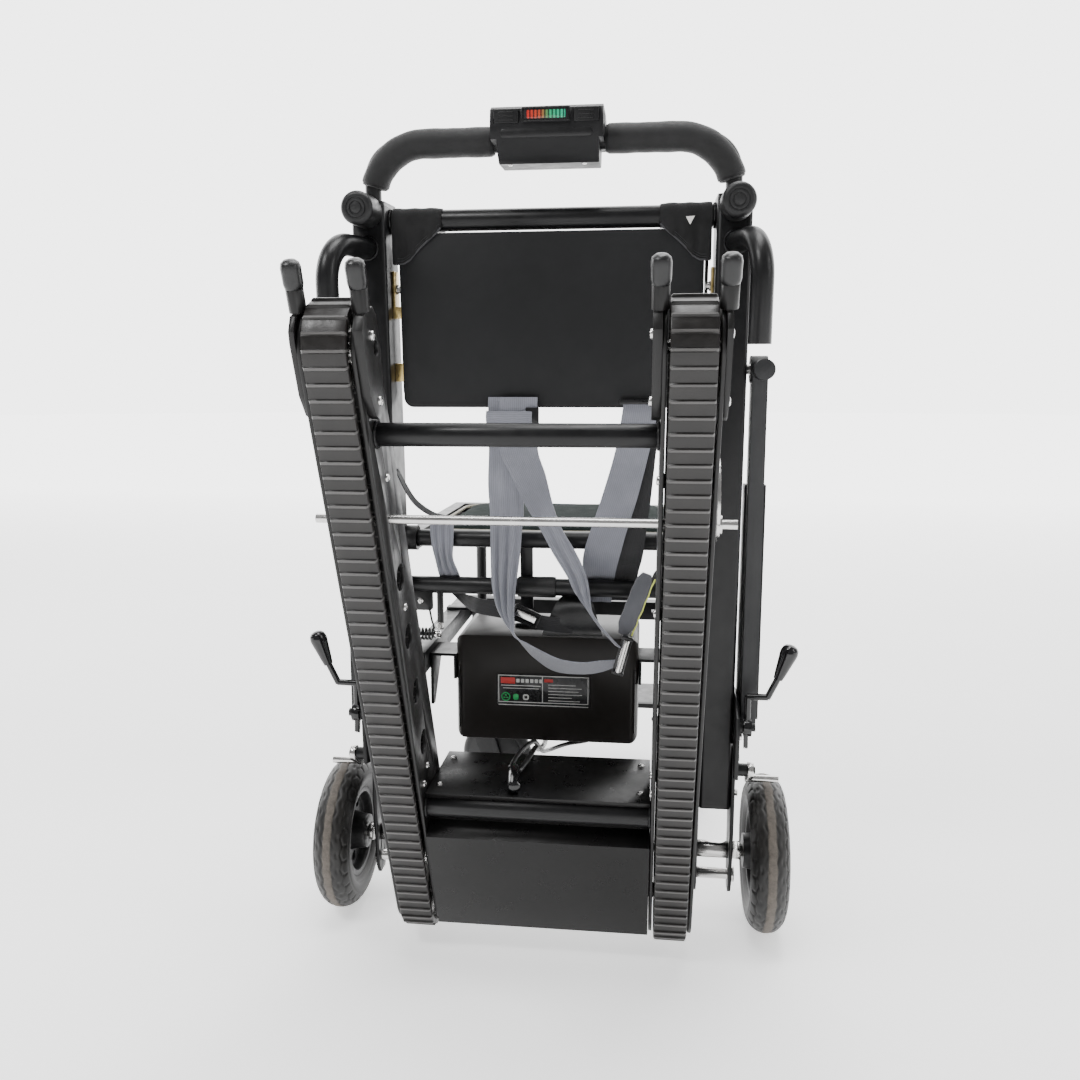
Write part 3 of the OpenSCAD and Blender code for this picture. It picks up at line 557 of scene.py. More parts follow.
def strip(name, grid, thick, mat, body):
    """A thin closed sheet on a grid of points [along][across], with UV in metres."""
    g = np.array(grid, float)
    rows, cols = g.shape[:2]
    du = np.gradient(g, axis=1)
    dv = np.gradient(g, axis=0)
    nrm = np.cross(dv, du)
    nrm /= np.maximum(np.linalg.norm(nrm, axis=2), 1e-12)[..., None]
    a, b = g + nrm * thick / 2, g - nrm * thick / 2
    us = np.concatenate([np.zeros((rows, 1)), np.cumsum(np.linalg.norm(np.diff(g, axis=1), axis=2), 1)], 1)
    mid = g[:, cols // 2]
    vs = np.concatenate([[0], np.cumsum(np.linalg.norm(np.diff(mid, axis=0), axis=1))])
    verts = np.concatenate([a.reshape(-1, 3), b.reshape(-1, 3)])
    off = rows * cols
    faces = []
    for i in range(rows - 1):
        for j in range(cols - 1):
            q = [i * cols + j, i * cols + j + 1, (i + 1) * cols + j + 1, (i + 1) * cols + j]
            faces.append(q)
            faces.append([off + k for k in reversed(q)])
    for i in range(rows - 1):
        for j in (0, cols - 1):
            q = [i * cols + j, (i + 1) * cols + j, off + (i + 1) * cols + j, off + i * cols + j]
            faces.append(q if j == 0 else q[::-1])
    for j in range(cols - 1):
        for i in (0, rows - 1):
            q = [i * cols + j, i * cols + j + 1, off + i * cols + j + 1, off + i * cols + j]
            faces.append(q[::-1] if i == 0 else q)
    me = bpy.data.meshes.new(name)
    me.from_pydata(verts.tolist(), [], faces)
    me.materials.append(M[mat])
    layer = me.uv_layers.new(name="UVMap")
    for poly in me.polygons:
        for li in poly.loop_indices:
            k = me.loops[li].vertex_index % off
            layer.data[li].uv = (us[k // cols, k % cols], vs[k // cols])
    return finished(name, me, body, 50)


# ---- CAD nodes: finish and softened edges ----
def dress(node, mat, edge=0.8, sharp=32):
    o = NODES[node]
    o.data.materials.clear()
    o.data.materials.append(M[mat])
    smooth_faces(o.data)
    w = o.modifiers.new("weld", "WELD")
    w.merge_threshold = 0.00002
    if edge:
        b = o.modifiers.new("edges", "BEVEL")
        b.width = edge / 1000
        b.segments = 2
        b.limit_method = "ANGLE"
        b.angle_limit = radians(sharp)
        b.harden_normals = True
    return o


FINISH = {
    "powder": ["side_tube_l", "side_tube_r", "back_top_tube", "low_cross_tubes", "loop_handles",
               "axle_plates", "base_frame", "front_legs", "seat_posts", "battery_bracket",
               "brake_brackets", "track_tubes", "caster_fork_l", "caster_fork_r", "handle_bar",
               "seat_frame", "footrest"],
    "plate": ["track_plates_l", "track_plates_r", "guard_posts"],
    "housing": ["drive_housing"],
    "bright": ["rear_axle", "chair_bolts", "release_bar", "brake_shoe_l", "brake_shoe_r", "drive_axle",
               "idlers"],
    "brass": ["back_brackets"],
    "rubber": ["rear_grips", "caster_wheel_l", "caster_wheel_r"],
    "cap": ["guard_caps"],
    "belt": ["belt_l", "belt_r"],
    "case": ["battery_case"],
    "gloss": ["brake_lever_l", "brake_lever_r"],
    "box": ["control_box"],
    "satin": ["tube_bushings", "key_up", "key_down"],
    "hub": ["hub_l", "hub_r"],
    "board": ["back_board"],
    "arm": ["armrest_l", "armrest_r"],
    "cast": ["drive_motor"],
}
for finish, names in FINISH.items():
    for node in names:
        dress(node, finish, 2.4 if node == "battery_case" else 0.8)


# ---- floor and light ----
def make_stage():
    n = Nodes("floor")
    col = n.ramp(n.noise(3, 4, 0.6), [(0.3, (0.92, 0.92, 0.92)), (0.7, (0.94, 0.94, 0.94))])
    n.feed("Base Color", col)
    n.feed("Emission Color", col)
    sep = n.new("ShaderNodeSeparateXYZ")
    n.link(n.geo, sep.inputs[0])
    n.feed("Emission Strength", n.remap(sep.outputs[1], 0.4, 5.0, 0.85, 3.3))
    n.put("Roughness", 0.8)
    n.put("Specular IOR Level", 0.1)
    me = bpy.data.meshes.new("floor")
    me.from_pydata([(30 * cos(a), 30 * sin(a), 0) for a in turn(96)],
                   [], [list(range(96))])
    me.materials.append(n.m)
    floor = bpy.data.objects.new("floor", me)
    scene.collection.objects.link(floor)
    world = bpy.data.worlds.new("studio")
    world.use_nodes = True
    t = world.node_tree
    sep = t.nodes.new("ShaderNodeSeparateXYZ")
    t.links.new(t.nodes.new("ShaderNodeTexCoord").outputs["Generated"], sep.inputs[0])
    glow = t.nodes.new("ShaderNodeMapRange")
    glow.interpolation_type = "SMOOTHSTEP"
    t.links.new(sep.outputs[1], glow.inputs[0])
    for k, v in enumerate((0.2, 0.62, 0.34, 4.2)):
        glow.inputs[k + 1].default_value = v
    t.nodes["Background"].inputs[0].default_value = (1, 1, 1, 1)
    t.links.new(glow.outputs[0], t.nodes["Background"].inputs[1])
    scene.world = world
    for name, loc, target, size, power in (
            ("key", (-1.4, -1.7, 3.0), (0, 0, 0.5), (0.9, 0.7), 46),
            ("fill", (2.6, -1.2, 1.9), (0, 0, 0.5), (0.5, 1.6), 20),
            ("top", (0.2, -0.2, 3.2), (0, 0, 0.4), (1.8, 1.0), 60),
            ("rim", (-2.6, 0.6, 1.6), (0, 0, 0.5), (0.5, 1.6), 24)):
        light = bpy.data.objects.new(name, bpy.data.lights.new(name, "AREA"))
        light.data.shape = "RECTANGLE"
        light.data.size, light.data.size_y = size
        light.data.energy = power
        light.location = loc
        light.rotation_mode = "QUATERNION"
        light.rotation_quaternion = (Vector(target) - Vector(loc)).to_track_quat("-Z", "Y")
        scene.collection.objects.link(light)


make_stage()


# ---- tyres ----
def tyre(name, x, body, node):
    """A round-section tyre with zigzag grooves, dimpled blocks and shoulder ribs cut into its tread."""
    turns, ns, na = 28, 84, 28 * 12
    phi = np.linspace(-2.55, 2.55, ns)
    s = np.abs(24 * phi)
    theta = turn(na)
    bag = Bag()
    rings = []
    for t in theta:
        w = turns * t / (2 * pi)
        tri = 2 * abs(2 * (w % 1) - 1) - 1
        tri2 = 2 * abs(2 * ((w + 0.5) % 1) - 1) - 1
        z = np.where(phi > 0, tri, tri2) * 2.2
        g1 = np.exp(-((s - 7.0 - z) / 0.85) ** 2) * 1.5
        g2 = np.exp(-((s - 20.5 - z * 0.9) / 0.9) ** 2) * 1.5
        mid = 0.5 - 0.5 * np.cos(2 * pi * (w + np.where(phi > 0, 0.0, 0.5)))
        pit = np.exp(-((s - 13.6) / 1.7) ** 2) * np.exp(-((mid - 1) / 0.28) ** 2) * 1.3
        cut = np.exp(-((mid) / 0.055) ** 2) * ((s > 21) & (s < 30)) * 1.1
        ring = np.exp(-((s - 33.5) / 0.9) ** 2) * 0.9 + np.exp(-((s - 46) / 1.4) ** 2) * 0.8
        wear = np.exp(-(s / 9.0) ** 4) * 0.25
        rad = 24 - g1 - g2 - pit - cut - ring * 0.8 - wear
        rr = 76 + rad * np.cos(phi)
        xx = rad * np.sin(phi)
        rings.append([(x / 1000 + a / 1000, FRAME_Y + b * cos(t) / 1000, AXLE[2] + b * sin(t) / 1000)
                      for a, b in zip(xx, rr)])
    bag.loft(rings, closed=True)
    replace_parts(bag.make(name, "tyre", body, "tyre_rubber", sharp=70), node)


tyre("rear_tyre_r", wheel_x(), "wheel_r", "tyre_r")
tyre("rear_tyre_l", -wheel_x(), "wheel_l", "tyre_l")


# ---- push handle: foam, control box details ----
BOX_Z = 834.0


def foam_sleeve(side):
    tx, top, bend = 213.0, 837.0, 64.0
    pts = [back(side * x, 0, top) for x in np.linspace(64.4, tx - bend, 22)]
    for a in np.linspace(0, 76, 24)[1:]:
        t = radians(a)
        pts.append(back(side * (tx - bend + bend * sin(t)), 0, top - bend + bend * cos(t)))
    pts = np.array(pts)
    n = len(pts)
    r = 16.6 + 0.2 * np.sin(np.linspace(0, 19, n)) + 0.14 * np.sin(np.linspace(2, 47, n))
    r[0], r[1], r[-1], r[-2] = 15.9, 16.4, 15.6, 16.4
    return Bag().tube(pts, r, 36)


bag = foam_sleeve(1)
left = foam_sleeve(-1)
k = len(bag.v)
bag.v += left.v
bag.f += [tuple(i + k for i in f) for f in left.f]
bag.m += left.m
foam = bag.make("foam_sleeves_skin", "foam", "handle", "foam")
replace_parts(foam, "foam_sleeves")

bag = Bag()
bag.box(back(0, -43.4, BOX_Z + 22.5), (44, 9, 1.2), 1.5, axes=LEANING)
bag.make("charge_gauge", "gauge", "handle", "black_plastic")
bag = Bag()
for dz in (15.6, 29.4):
    bag.box(back(0, -43.6, BOX_Z + dz), (54, 1.8, 2.4), 0.8, axes=LEANING)
for dx in (-26.1, 26.1):
    bag.box(back(dx, -43.6, BOX_Z + 22.5), (1.8, 15.4, 2.4), 0.8, axes=LEANING)
for x in (-45, 45):
    for k in (-4.2, 0, 4.2):
        bag.box(back(x, -42.8, BOX_Z + 21.6 + k), (17, 1.1, 0.9), 0.5, axes=LEANING)
bag.box(back(0, -41.2, BOX_Z + 3.5), (104, 9.5, 1.0), 4, axes=LEANING, edge=0.4)
bag.make("box_bezel", "satin", "handle", "black_plastic")
bag = Bag()
for s in (-1, 1):
    bag.box(back(s * 64.3, -2, BOX_Z + 15), (54, 24, 0.9), 5, axes=[FWD, UP, XA * s], edge=0.4)
bag.make("box_side_panels", "arm", "handle", "grey_plastic")
bag = Bag()
for x in (-21, 20):
    bag.screw(back(x * 2.1, -18, BOX_Z - 26), -UP, 2.6, 1.4)
bag.make("box_screws", "bright", "handle", "bright_steel")


# ---- belts: one loop each with raised cross ribs ----
def belt(name, xc, body, node):
    lo, hi = np.array([-76.8, 7.5]), np.array([-89.8, 721.5])
    d = hi - lo
    n = np.linalg.norm(d)
    u = d / n
    v = np.array([-u[1], u[0]])
    rl, rt, ribs = 55.5, 42.5, 116
    c = (rl - rt) / n
    k = math.sqrt(1 - c * c)
    na, nb = c * u + k * v, c * u - k * v
    aa, ab = math.atan2(na[1], na[0]), math.atan2(nb[1], nb[0])
    run = n * k
    top = (aa - ab) * rt
    low = (2 * pi - (aa - ab)) * rl
    total = 2 * run + top + low

    def along(s):
        s %= total
        if s < run:
            return lo + rl * na + (hi + rt * na - lo - rl * na) * s / run, na
        if s < run + top:
            t = aa - (s - run) / rt
            e = np.array([cos(t), sin(t)])
            return hi + rt * e, e
        if s < 2 * run + top:
            return hi + rt * nb - (hi + rt * nb - lo - rl * nb) * (s - run - top) / run, nb
        t = ab - (s - 2 * run - top) / rl
        e = np.array([cos(t), sin(t)])
        return lo + rl * e, e

    pitch = total / ribs
    w = 19.9
    rings = []
    for i in range(ribs):
        s0 = (i + 0.5) * pitch
        # flat, foot, shoulder, crest, crest, shoulder, foot, flat
        for ds, h, e in ((-pitch * 0.36, 0.0, 0.0), (-2.1, 0.1, 0.1), (-1.45, 1.6, 0.5), (-0.95, 2.35, 0.9),
                         (0.95, 2.35, 0.9), (1.45, 1.6, 0.5), (2.1, 0.1, 0.1), (pitch * 0.36, 0.0, 0.0)):
            p, nn = along(s0 + ds)
            jag = 0.06 * sin(i * 1.7)
            sec = [(-w, -5.3), (-w, -0.9), (-w + 0.35 + e * 0.4, -0.25 + h * 0.55),
                   (-w + 1.1 + e, h - 0.02), (-9, h + jag * 0.2),
                   (9, h - jag * 0.2), (w - 1.1 - e, h - 0.02), (w - 0.35 - e * 0.4, -0.25 + h * 0.55),
                   (w, -0.9), (w, -5.3)]
            rings.append([trk(xc + a, *(p + nn * b)) for a, b in sec])
    bag = Bag()
    bag.loft(rings, closed=True)
    # the crest top and one of its slopes take the lighter rib material: a painted highlight on the faces
    # toward the light
    bag.m = [1 if (i // 10) % 8 in (3, 4) else 0 for i in range(len(bag.f))]
    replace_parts(bag.make(name, ["belt", "rib"], body, "belt_rubber", sharp=40), node)


belt("belt_ribbed_r", 156.5, "track", "belt_r")
belt("belt_ribbed_l", -156.5, "track", "belt_l")


# ---- webbing ----
def ribbon(name, rows, mat, waves=3, thick=1.5, node=None):
    """rows: left x, z, right x, z, left y, right y, fold height; in millimetres, chair axes."""
    q = smooth_path(rows, 7)
    t = np.linspace(0, 1, 25)
    grid = []
    for lx, lz, rx, rz, yl, yr, fold in q:
        p = np.stack([lx + (rx - lx) * t, yl + (yr - yl) * t, lz + (rz - lz) * t], 1)
        across = p[-1] - p[0]
        run = np.array([0.0, 0.0, -1.0])
        nrm = np.cross(across, run)
        nrm /= max(np.linalg.norm(nrm), 1e-6)
        if nrm[1] > 0:
            nrm = -nrm
        p = p + nrm * (fold * np.sin(2 * pi * waves * t) * np.minimum(1, 6 * np.minimum(t, 1 - t)))[:, None]
        grid.append([at(*c) for c in p])
    o = strip(name, grid, thick / 1000, mat, "chair")
    if node:
        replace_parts(o, node)


ribbon("strap_hanging_left", [
    (-75.3, 690, -29, 690, -33, -33, 0), (-75.3, 678, -29, 677, -36, -36, 0),
    (-74, 628, -27, 628, -40, -41, 0.2), (-75, 586, -30, 586, -42, -43, 0.5),
    (-73, 551, -31, 549, -43, -44, 1), (-72.5, 527.5, -33, 528, -43, -45, 1.8),
    (-72.3, 496.7, -35.4, 497, -43, -46, 2.8), (-71, 460.8, -40, 461.5, -44, -48, 3.4),
    (-65.7, 432, -42, 430, -44, -54, 3.4), (-56, 411, -41.2, 413, -42, -60, 2),
    (-45, 394, -39.5, 399, -36, -68, 0.8), (-32, 376, -24, 391, -32, -70, 0),
    (-18.5, 362, -6.5, 382, -32, -70, 0), (7.4, 347, 16.7, 372, -36, -70, 0),
    (42.5, 346, 44.7, 369, -42, -71, 0), (66, 352, 68, 371.8, -50, -70, 0),
    (82, 361, 85.5, 373.5, -60, -70, 0)],
    "webbing", node="straps_left")
ribbon("strap_hanging_mid", [
    (-60.4, 690, -14.2, 690, -38, -38, 0), (-60.4, 676, -14.2, 676, -42, -42, 0),
    (-59.7, 628, -12.9, 628, -47, -47, 0), (-46, 596, -3, 596.5, -48, -49, 0.2),
    (-26.4, 557, 7, 557.4, -49, -51, 0.8), (-10.2, 531.6, 17, 532, -50, -53, 1.2),
    (6.1, 501.5, 35, 502, -51, -55, 1.8), (23.6, 473.6, 48, 474, -52, -58, 2.4),
    (34, 452.5, 53, 448, -52, -62, 2.6), (50, 431, 56.6, 429.3, -52, -70, 1.4),
    (64, 409, 75, 408, -50, -78, 0.5), (84, 388, 91, 391, -54, -77, 0)],
    "webbing", waves=2)
ribbon("strap_right_front", [
    (89, 690, 131.6, 690, -28, -28, 0), (89, 678, 131.6, 677, -31, -31, 0),
    (80.4, 626, 121.7, 626, -33, -33, 0.2), (64.9, 570.4, 108.5, 569.7, -31, -31, 0.3),
    (51.3, 528.2, 96.4, 528.9, -28.5, -28.5, 0.3), (42, 496, 88, 497, -26.5, -26.5, 0.3),
    (41, 472, 82, 472, -12, -12, 0.5), (44, 452, 79, 452, 7.5, 7.5, 0.8), (48, 428, 76, 428, 8, 8, 1)],
    "webbing", waves=1.5, node="strap_right")
ribbon("strap_right_back", [
    (99, 690, 135, 690, -23, -23, 0), (100, 677, 135, 676, -26, -26, 0),
    (104, 626, 130, 626, -28, -28, 0), (96, 566, 124.5, 566, -26, -26, 0),
    (88, 528, 120, 529, -24.6, -24.6, 0), (80, 496, 116, 496, -22.4, -22.4, 0),
    (76, 473, 111, 473, -6, -6, 0), (74, 452, 108, 452, 11, 11, 0), (72, 430, 104, 430, 11, 11, 0)],
    "dark_webbing", waves=1)
ribbon("strap_left_wrap", [
    (-152, 540, -125, 540, -22, -22, 0), (-153, 529, -123, 530, -24.5, -24.5, 1.2),
    (-151, 505, -123.5, 506, -25.5, -25.5, 1.8), (-148, 486, -125, 486, -21, -21, 2),
    (-147, 467, -121, 467, -9, -9, 1.5), (-147, 452, -120, 452, 7.5, 7.5, 0.8)],
    "webbing")
ribbon("strap_left_loop", [
    (-192.4, 597, -192.4, 601, -36, -28, 0), (-181.5, 574, -180, 578, -36, -28, 0),
    (-173, 560, -171, 564, -35, -28, 0), (-163, 550.5, -161, 554.5, -34, -27, 0),
    (-149, 541.5, -147.5, 545.5, -31, -24, 0), (-136, 537, -135, 541, -26, -18, 0)],
    "dark_webbing", waves=1)
ribbon("belt_low_left", [
    (-134, 434, -130, 447, 12, 12, 0), (-120, 424, -117, 436.5, 4, 4, 0),
    (-107, 418, -104, 435.5, -10, -8, 0.2), (-92, 416, -89, 435, -24, -22, 0.3),
    (-70, 414, -66, 434, -31, -29, 0.2), (-43, 410, -40, 427, -34, -32, 0),
    (-18, 401, -14, 419, -34, -32, 0), (6, 396, 10, 414, -29, -27, 0.3), (28, 392, 30, 410, -20, -18, 0.3)],
    "dark_webbing", waves=1)
ribbon("saddle_flap", [
    (17, 446, 44, 446, 13, 13, 0), (15, 437, 46, 437, 9, 9, 0), (11, 433.5, 50, 433.5, -6, -6, 0.2),
    (7, 430, 54, 430, -17, -16, 0.4), (2, 420, 58, 420, -24, -22, 1.0), (-6, 402, 63, 402, -24, -20, 1.4),
    (-11, 390, 66, 391, -14, -12, 1.0), (-9, 383, 63, 384, 4, 4, 0.6), (-6, 382, 60, 383, 16, 16, 0.3)],
    "cushion", waves=1.2, thick=2.4)

# cloth wrap on the low tube, and the folded hem under the back board
bag = Bag()
tube_c = at(0, -7.2, 449)
bag.revolve([(11.2, -43), (12.9, -42.6), (13.4, -38), (13.2, -20), (13.5, 2), (12.9, 5.6), (11.2, 6)],
            tube_c, XA, 32)
bag.make("low_tube_wrap", "cushion", "chair", "black_cloth")
hem = []
for x in np.linspace(-76, -20, 15):
    hem.append([at(x, -46 - 3.2 * sin(pi * t),
                   658.5 + 14.5 * t + 0.3 * sin(x * 0.4)) for t in np.linspace(0, 1, 9)])
strip("folded_hem", hem, 0.0018, "webbing", "chair")


# ---- buckles and tongues ----
bag = Bag()
bag.box(at(-20, -44.5, 667.5), (16.5, 21, 5), 1.5, axes=FACING)
bag.box(at(-48, -43.6, 657.2), (62, 2.4, 6), 1.0, axes=FACING)
bag.box(at(108, -37.5, 684.5), (46, 6, 5), 1.5, axes=FACING)
tilt = radians(-24)
along = np.array([cos(tilt), 0, sin(tilt)])
above = np.array([-sin(tilt), 0, cos(tilt)])
TILTED = [along, above, [0, -1, 0]]
for off in (-8.5, 8.5):
    bag.box(at(-29, -38.5, 418) + above * off / 1000, (34, 2.6, 4.6), 1.2, axes=TILTED)
for off in (-16.5, 16.5):
    bag.box(at(-29, -38.5, 418) + along * off / 1000, (2.6, 19.4, 4.6), 1.2, axes=TILTED)
d = np.array([-10.4, 0, -38.6])
d /= np.linalg.norm(d)
TONGUE = [np.array([d[2], 0, -d[0]]), -d, [0, -1, 0]]
bag.box(at(93.6, -70.5, 380.3), (13.5, 47, 3.2), 1.4, axes=TONGUE)
for e in (-22.5, 22.5):
    bag.box(at(93.6, -73.5, 380.3) + d * e / 1000, (14.5, 4.4, 7.2), 1.4, axes=TONGUE)
o = bag.make("strap_buckles", "satin", "chair", "grey_plastic")
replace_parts(o, "buckles")
bag = Bag()
bag.box(at(-29, -42.3, 418.5), (27, 8.4, 2.6), 1.0, axes=TILTED)
bag.tube([at(93.6, -76.2, 380.3) + d * e / 1000 for e in np.linspace(-21, 21, 9)], 3.9, 18)
bag.make("strap_bright_bars", "bright", "chair", "bright_steel")

# padded sleeve with a lime edge, and the strap that holds it
s0, s1 = np.array([121.6, -61, 479.5]), np.array([93.3, -63, 404.5])
axis = (s1 - s0) / np.linalg.norm(s1 - s0)
side = np.array([-axis[2], 0, axis[0]])
side /= np.linalg.norm(side)
rings = []
for t in np.linspace(0, 1, 26):
    bulge = min(1.0, 0.55 + 3.2 * min(t, 1 - t))
    width = 10.6 * bulge + 0.35 * sin(t * 26)
    depth = 4.6 * bulge
    c = s0 + (s1 - s0) * t
    rings.append([at(*(c + side * width * math.copysign(abs(cos(a)) ** 0.6, cos(a))
                       + np.array([0, -1, 0]) * depth * math.copysign(abs(sin(a)) ** 0.8, sin(a))))
                  for a in turn(28)])
bag = Bag()
bag.loft(rings)
sleeve = bag.make("belt_sleeve", "sleeve_cloth", "chair", "grey_webbing", sharp=60)
outward = side * np.sign(side[0])
edge = [at(*(s0 + (s1 - s0) * t + outward * (10.9 + 0.35 * sin(t * 26)) + np.array([0, -1.5, 0])))
        for t in np.linspace(0.03, 0.97, 30)]
bag = Bag()
bag.tube(edge, 0.95, 8)
bag.make("sleeve_piping", "lime", "chair", "grey_webbing")
ribbon("sleeve_strap", [
    (190, 500, 191, 522, -34, -34, 0), (172, 496, 174, 517, -42, -42, 0),
    (150, 484, 155, 503, -50, -50, 0.3), (137, 474, 141, 491, -57, -57, 0.3),
    (126, 466, 131, 482, -60, -60, 0), (119, 456, 127, 470, -61, -61, 0)],
    "dark_webbing", waves=1)


# ---- seat spring lock on the left ----
def spring_lock():
    bag = Bag()
    bag.box(at(-168, -12, 429), (28, 26, 4), 4, axes=FACING, edge=0.6)
    bag.box(at(-144.2, -13, 418), (8, 54, 5), 1.2, axes=FACING)
    bag.tube([at(-158, -15, 418), at(-155.5, -15.5, 405), at(-152, -15.5, 392)], 1.4, 10)
    turns = 5.5
    coil = [at(-178 + 25 * t, -15 + 7 * cos(turns * 2 * pi * t), 385 + 7 * sin(turns * 2 * pi * t))
            for t in np.linspace(0, 1, 110)]
    bag.tube(coil, 1.45, 8)
    bag.tube([at(-188, -15, 385), at(-146, -15, 385)], 2.6, 12)
    o = bag.make("spring_lock_black", "satin", "chair", "bright_steel")
    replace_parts(o, "spring_latch")
    bag = Bag()
    bag.screw(at(-170, -14.2, 429), [0, -1, 0], 4.2, 2.6)
    bag.revolve([(2.6, -11), (4.6, -9), (5.4, -5), (4.6, -1), (2.6, 0)], at(-143, -15, 384.8), XA, 20)
    bag.screw(at(-144.2, -15.7, 397), [0, -1, 0], 3.4, 2.2, kind="hex")
    bag.make("spring_lock_bolts", "bright", "chair", "bright_steel")


spring_lock()


# ---- power leads across the track hinge ----
def leads():
    routes = [("lead_thick", [(-20, 138, 215), (-20, 136, 209), (-19, 112, 203), (-17, 60, 211),
                              (-17, 0, 228), (-18, -36, 243), (-22, -80, 244.5), (-28, -119, 245.5)],
               3.5, "cables"),
              ("lead_thin", [(52, 138, 215), (52, 137, 209), (46, 118, 200), (12, 100, 198), (-9, 60, 204),
                             (-13, 0, 226), (-20, -36, 252), (-33, -80, 252), (-38, -119, 249)], 3.0, "")]
    for name, pts, r, mark in routes:
        p = smooth_path(pts, 6)
        path = np.array([at(*q) for q in p])
        bag = Bag()
        bag.tube(path, r, 14)
        o = bag.make(name, "jacket", None, "cable_jacket")
        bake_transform(o)
        if mark:
            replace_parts(o, "power_cables")
    bag = Bag()
    e = np.array([sin(radians(8)), -cos(radians(8)), 0])
    bag.revolve([(3.8, 0), (6.6, 1.2), (7.3, 4), (7.5, 30), (7.3, 53), (6.4, 57), (3.9, 58.5)],
                at(-34, -112, 246.8), e, 28)
    bag.make("lead_sleeve", "gloss", "track", "cable_jacket")


leads()


# ---- battery: side lines, handle, shoulder block, label ----
BATTERY_X = -14.0
bag = Bag()
for s in (-1, 1):
    bag.tube([at(BATTERY_X + s * 121.5, 60.9, z) for z in np.linspace(232, 322, 12)], 1.0, 8)
bag.box(at(BATTERY_X, 130, 367.4), (104, 40, 5.4), 9, axes=LEVEL)
bag.box(at(BATTERY_X - 118.5, 76, 352), (10, 26, 22), 4, axes=LEVEL, edge=3)
bag.make("battery_trim", "gloss", "chair", "black_plastic")


def battery_plate():
    """A generic label: a frame, rows of bars and three round signs, with no text."""
    PX, PZ, PY = -18.0, 288.7, 59.75
    bag = Bag()
    bag.box(at(PX, 60.45, PZ), (129, 44.6, 1.0), 2.2, m=0, axes=FACING, edge=0.3)

    def mark(x, z, w, h, m=1, r=0.4):
        bag.box(at(PX + x, PY, PZ + z), (w, h, 0.5), r, m=m, axes=FACING, edge=0.15)

    for z in (-21.4, -17.4, 20.6):
        mark(0, z, 125, 1.2)
    for x in (-61.9, 61.9):
        mark(x, 1.6, 1.2, 38)
    mark(-1.0, 1.6, 1.1, 38)
    mark(-49, 13.4, 20, 8.6, 2, 0.8)
    for i in range(6):
        mark(-35 + i * 6.4, 13.4, 4.6, 5.2, 1, 0.7)
    mark(-31, 6.3, 55, 1.1)
    mark(-31, 2.4, 50, 0.8)
    mark(7.5, 14.6, 12, 4.6, 2, 0.6)
    for i, w in enumerate((38, 46, 42, 47, 33, 44)):
        mark(9 + w / 2 - 2, 8.6 - i * 4.5, w, 1.0)
    ring = [at(PX - 52 + 5.6 * cos(t), PY, PZ - 10 + 5.6 * sin(t))
            for t in turn(24)]
    bag.tube(ring, 0.85, 6, m=3, closed=True)
    for i in range(3):
        t = radians(90 + 120 * i)
        mark(-52 + 2.3 * cos(t), -10 + 2.3 * sin(t), 3.0, 1.8, 3)
    mark(-38, -10, 7.4, 8.4, 3, 2.6)
    mark(-24, -10, 8.2, 8.2, 1, 2.8)
    mark(-24, -10, 4.6, 4.6, 0, 1.4)
    o = bag.make("battery_plate", ["label", "white", "red", "green"], "chair", "grey_plastic")
    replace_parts(o, "battery_label")


battery_plate()


# ---- seat pad, back cushion and cloth corner pockets ----
def pinched(x, y, w, d, pinch):
    """Pulls the sides of a cushion w by d mm in between its corners."""
    u, v = x / (w / 2000), y / (d / 2000)
    au, av = np.clip(np.abs(u), 0, 1), np.clip(np.abs(v), 0, 1)
    k = pinch / 1000
    return (x - np.sign(u) * k * np.clip(1 - v ** 2, 0, None) * au ** 4,
            y - np.sign(v) * k * np.clip(1 - u ** 2, 0, None) * av ** 4)


def settled(o):
    """The object's mesh with its modifiers applied."""
    me = bpy.data.meshes.new_from_object(o.evaluated_get(bpy.context.evaluated_depsgraph_get()))
    o.modifiers.clear()
    o.data = me
    return me


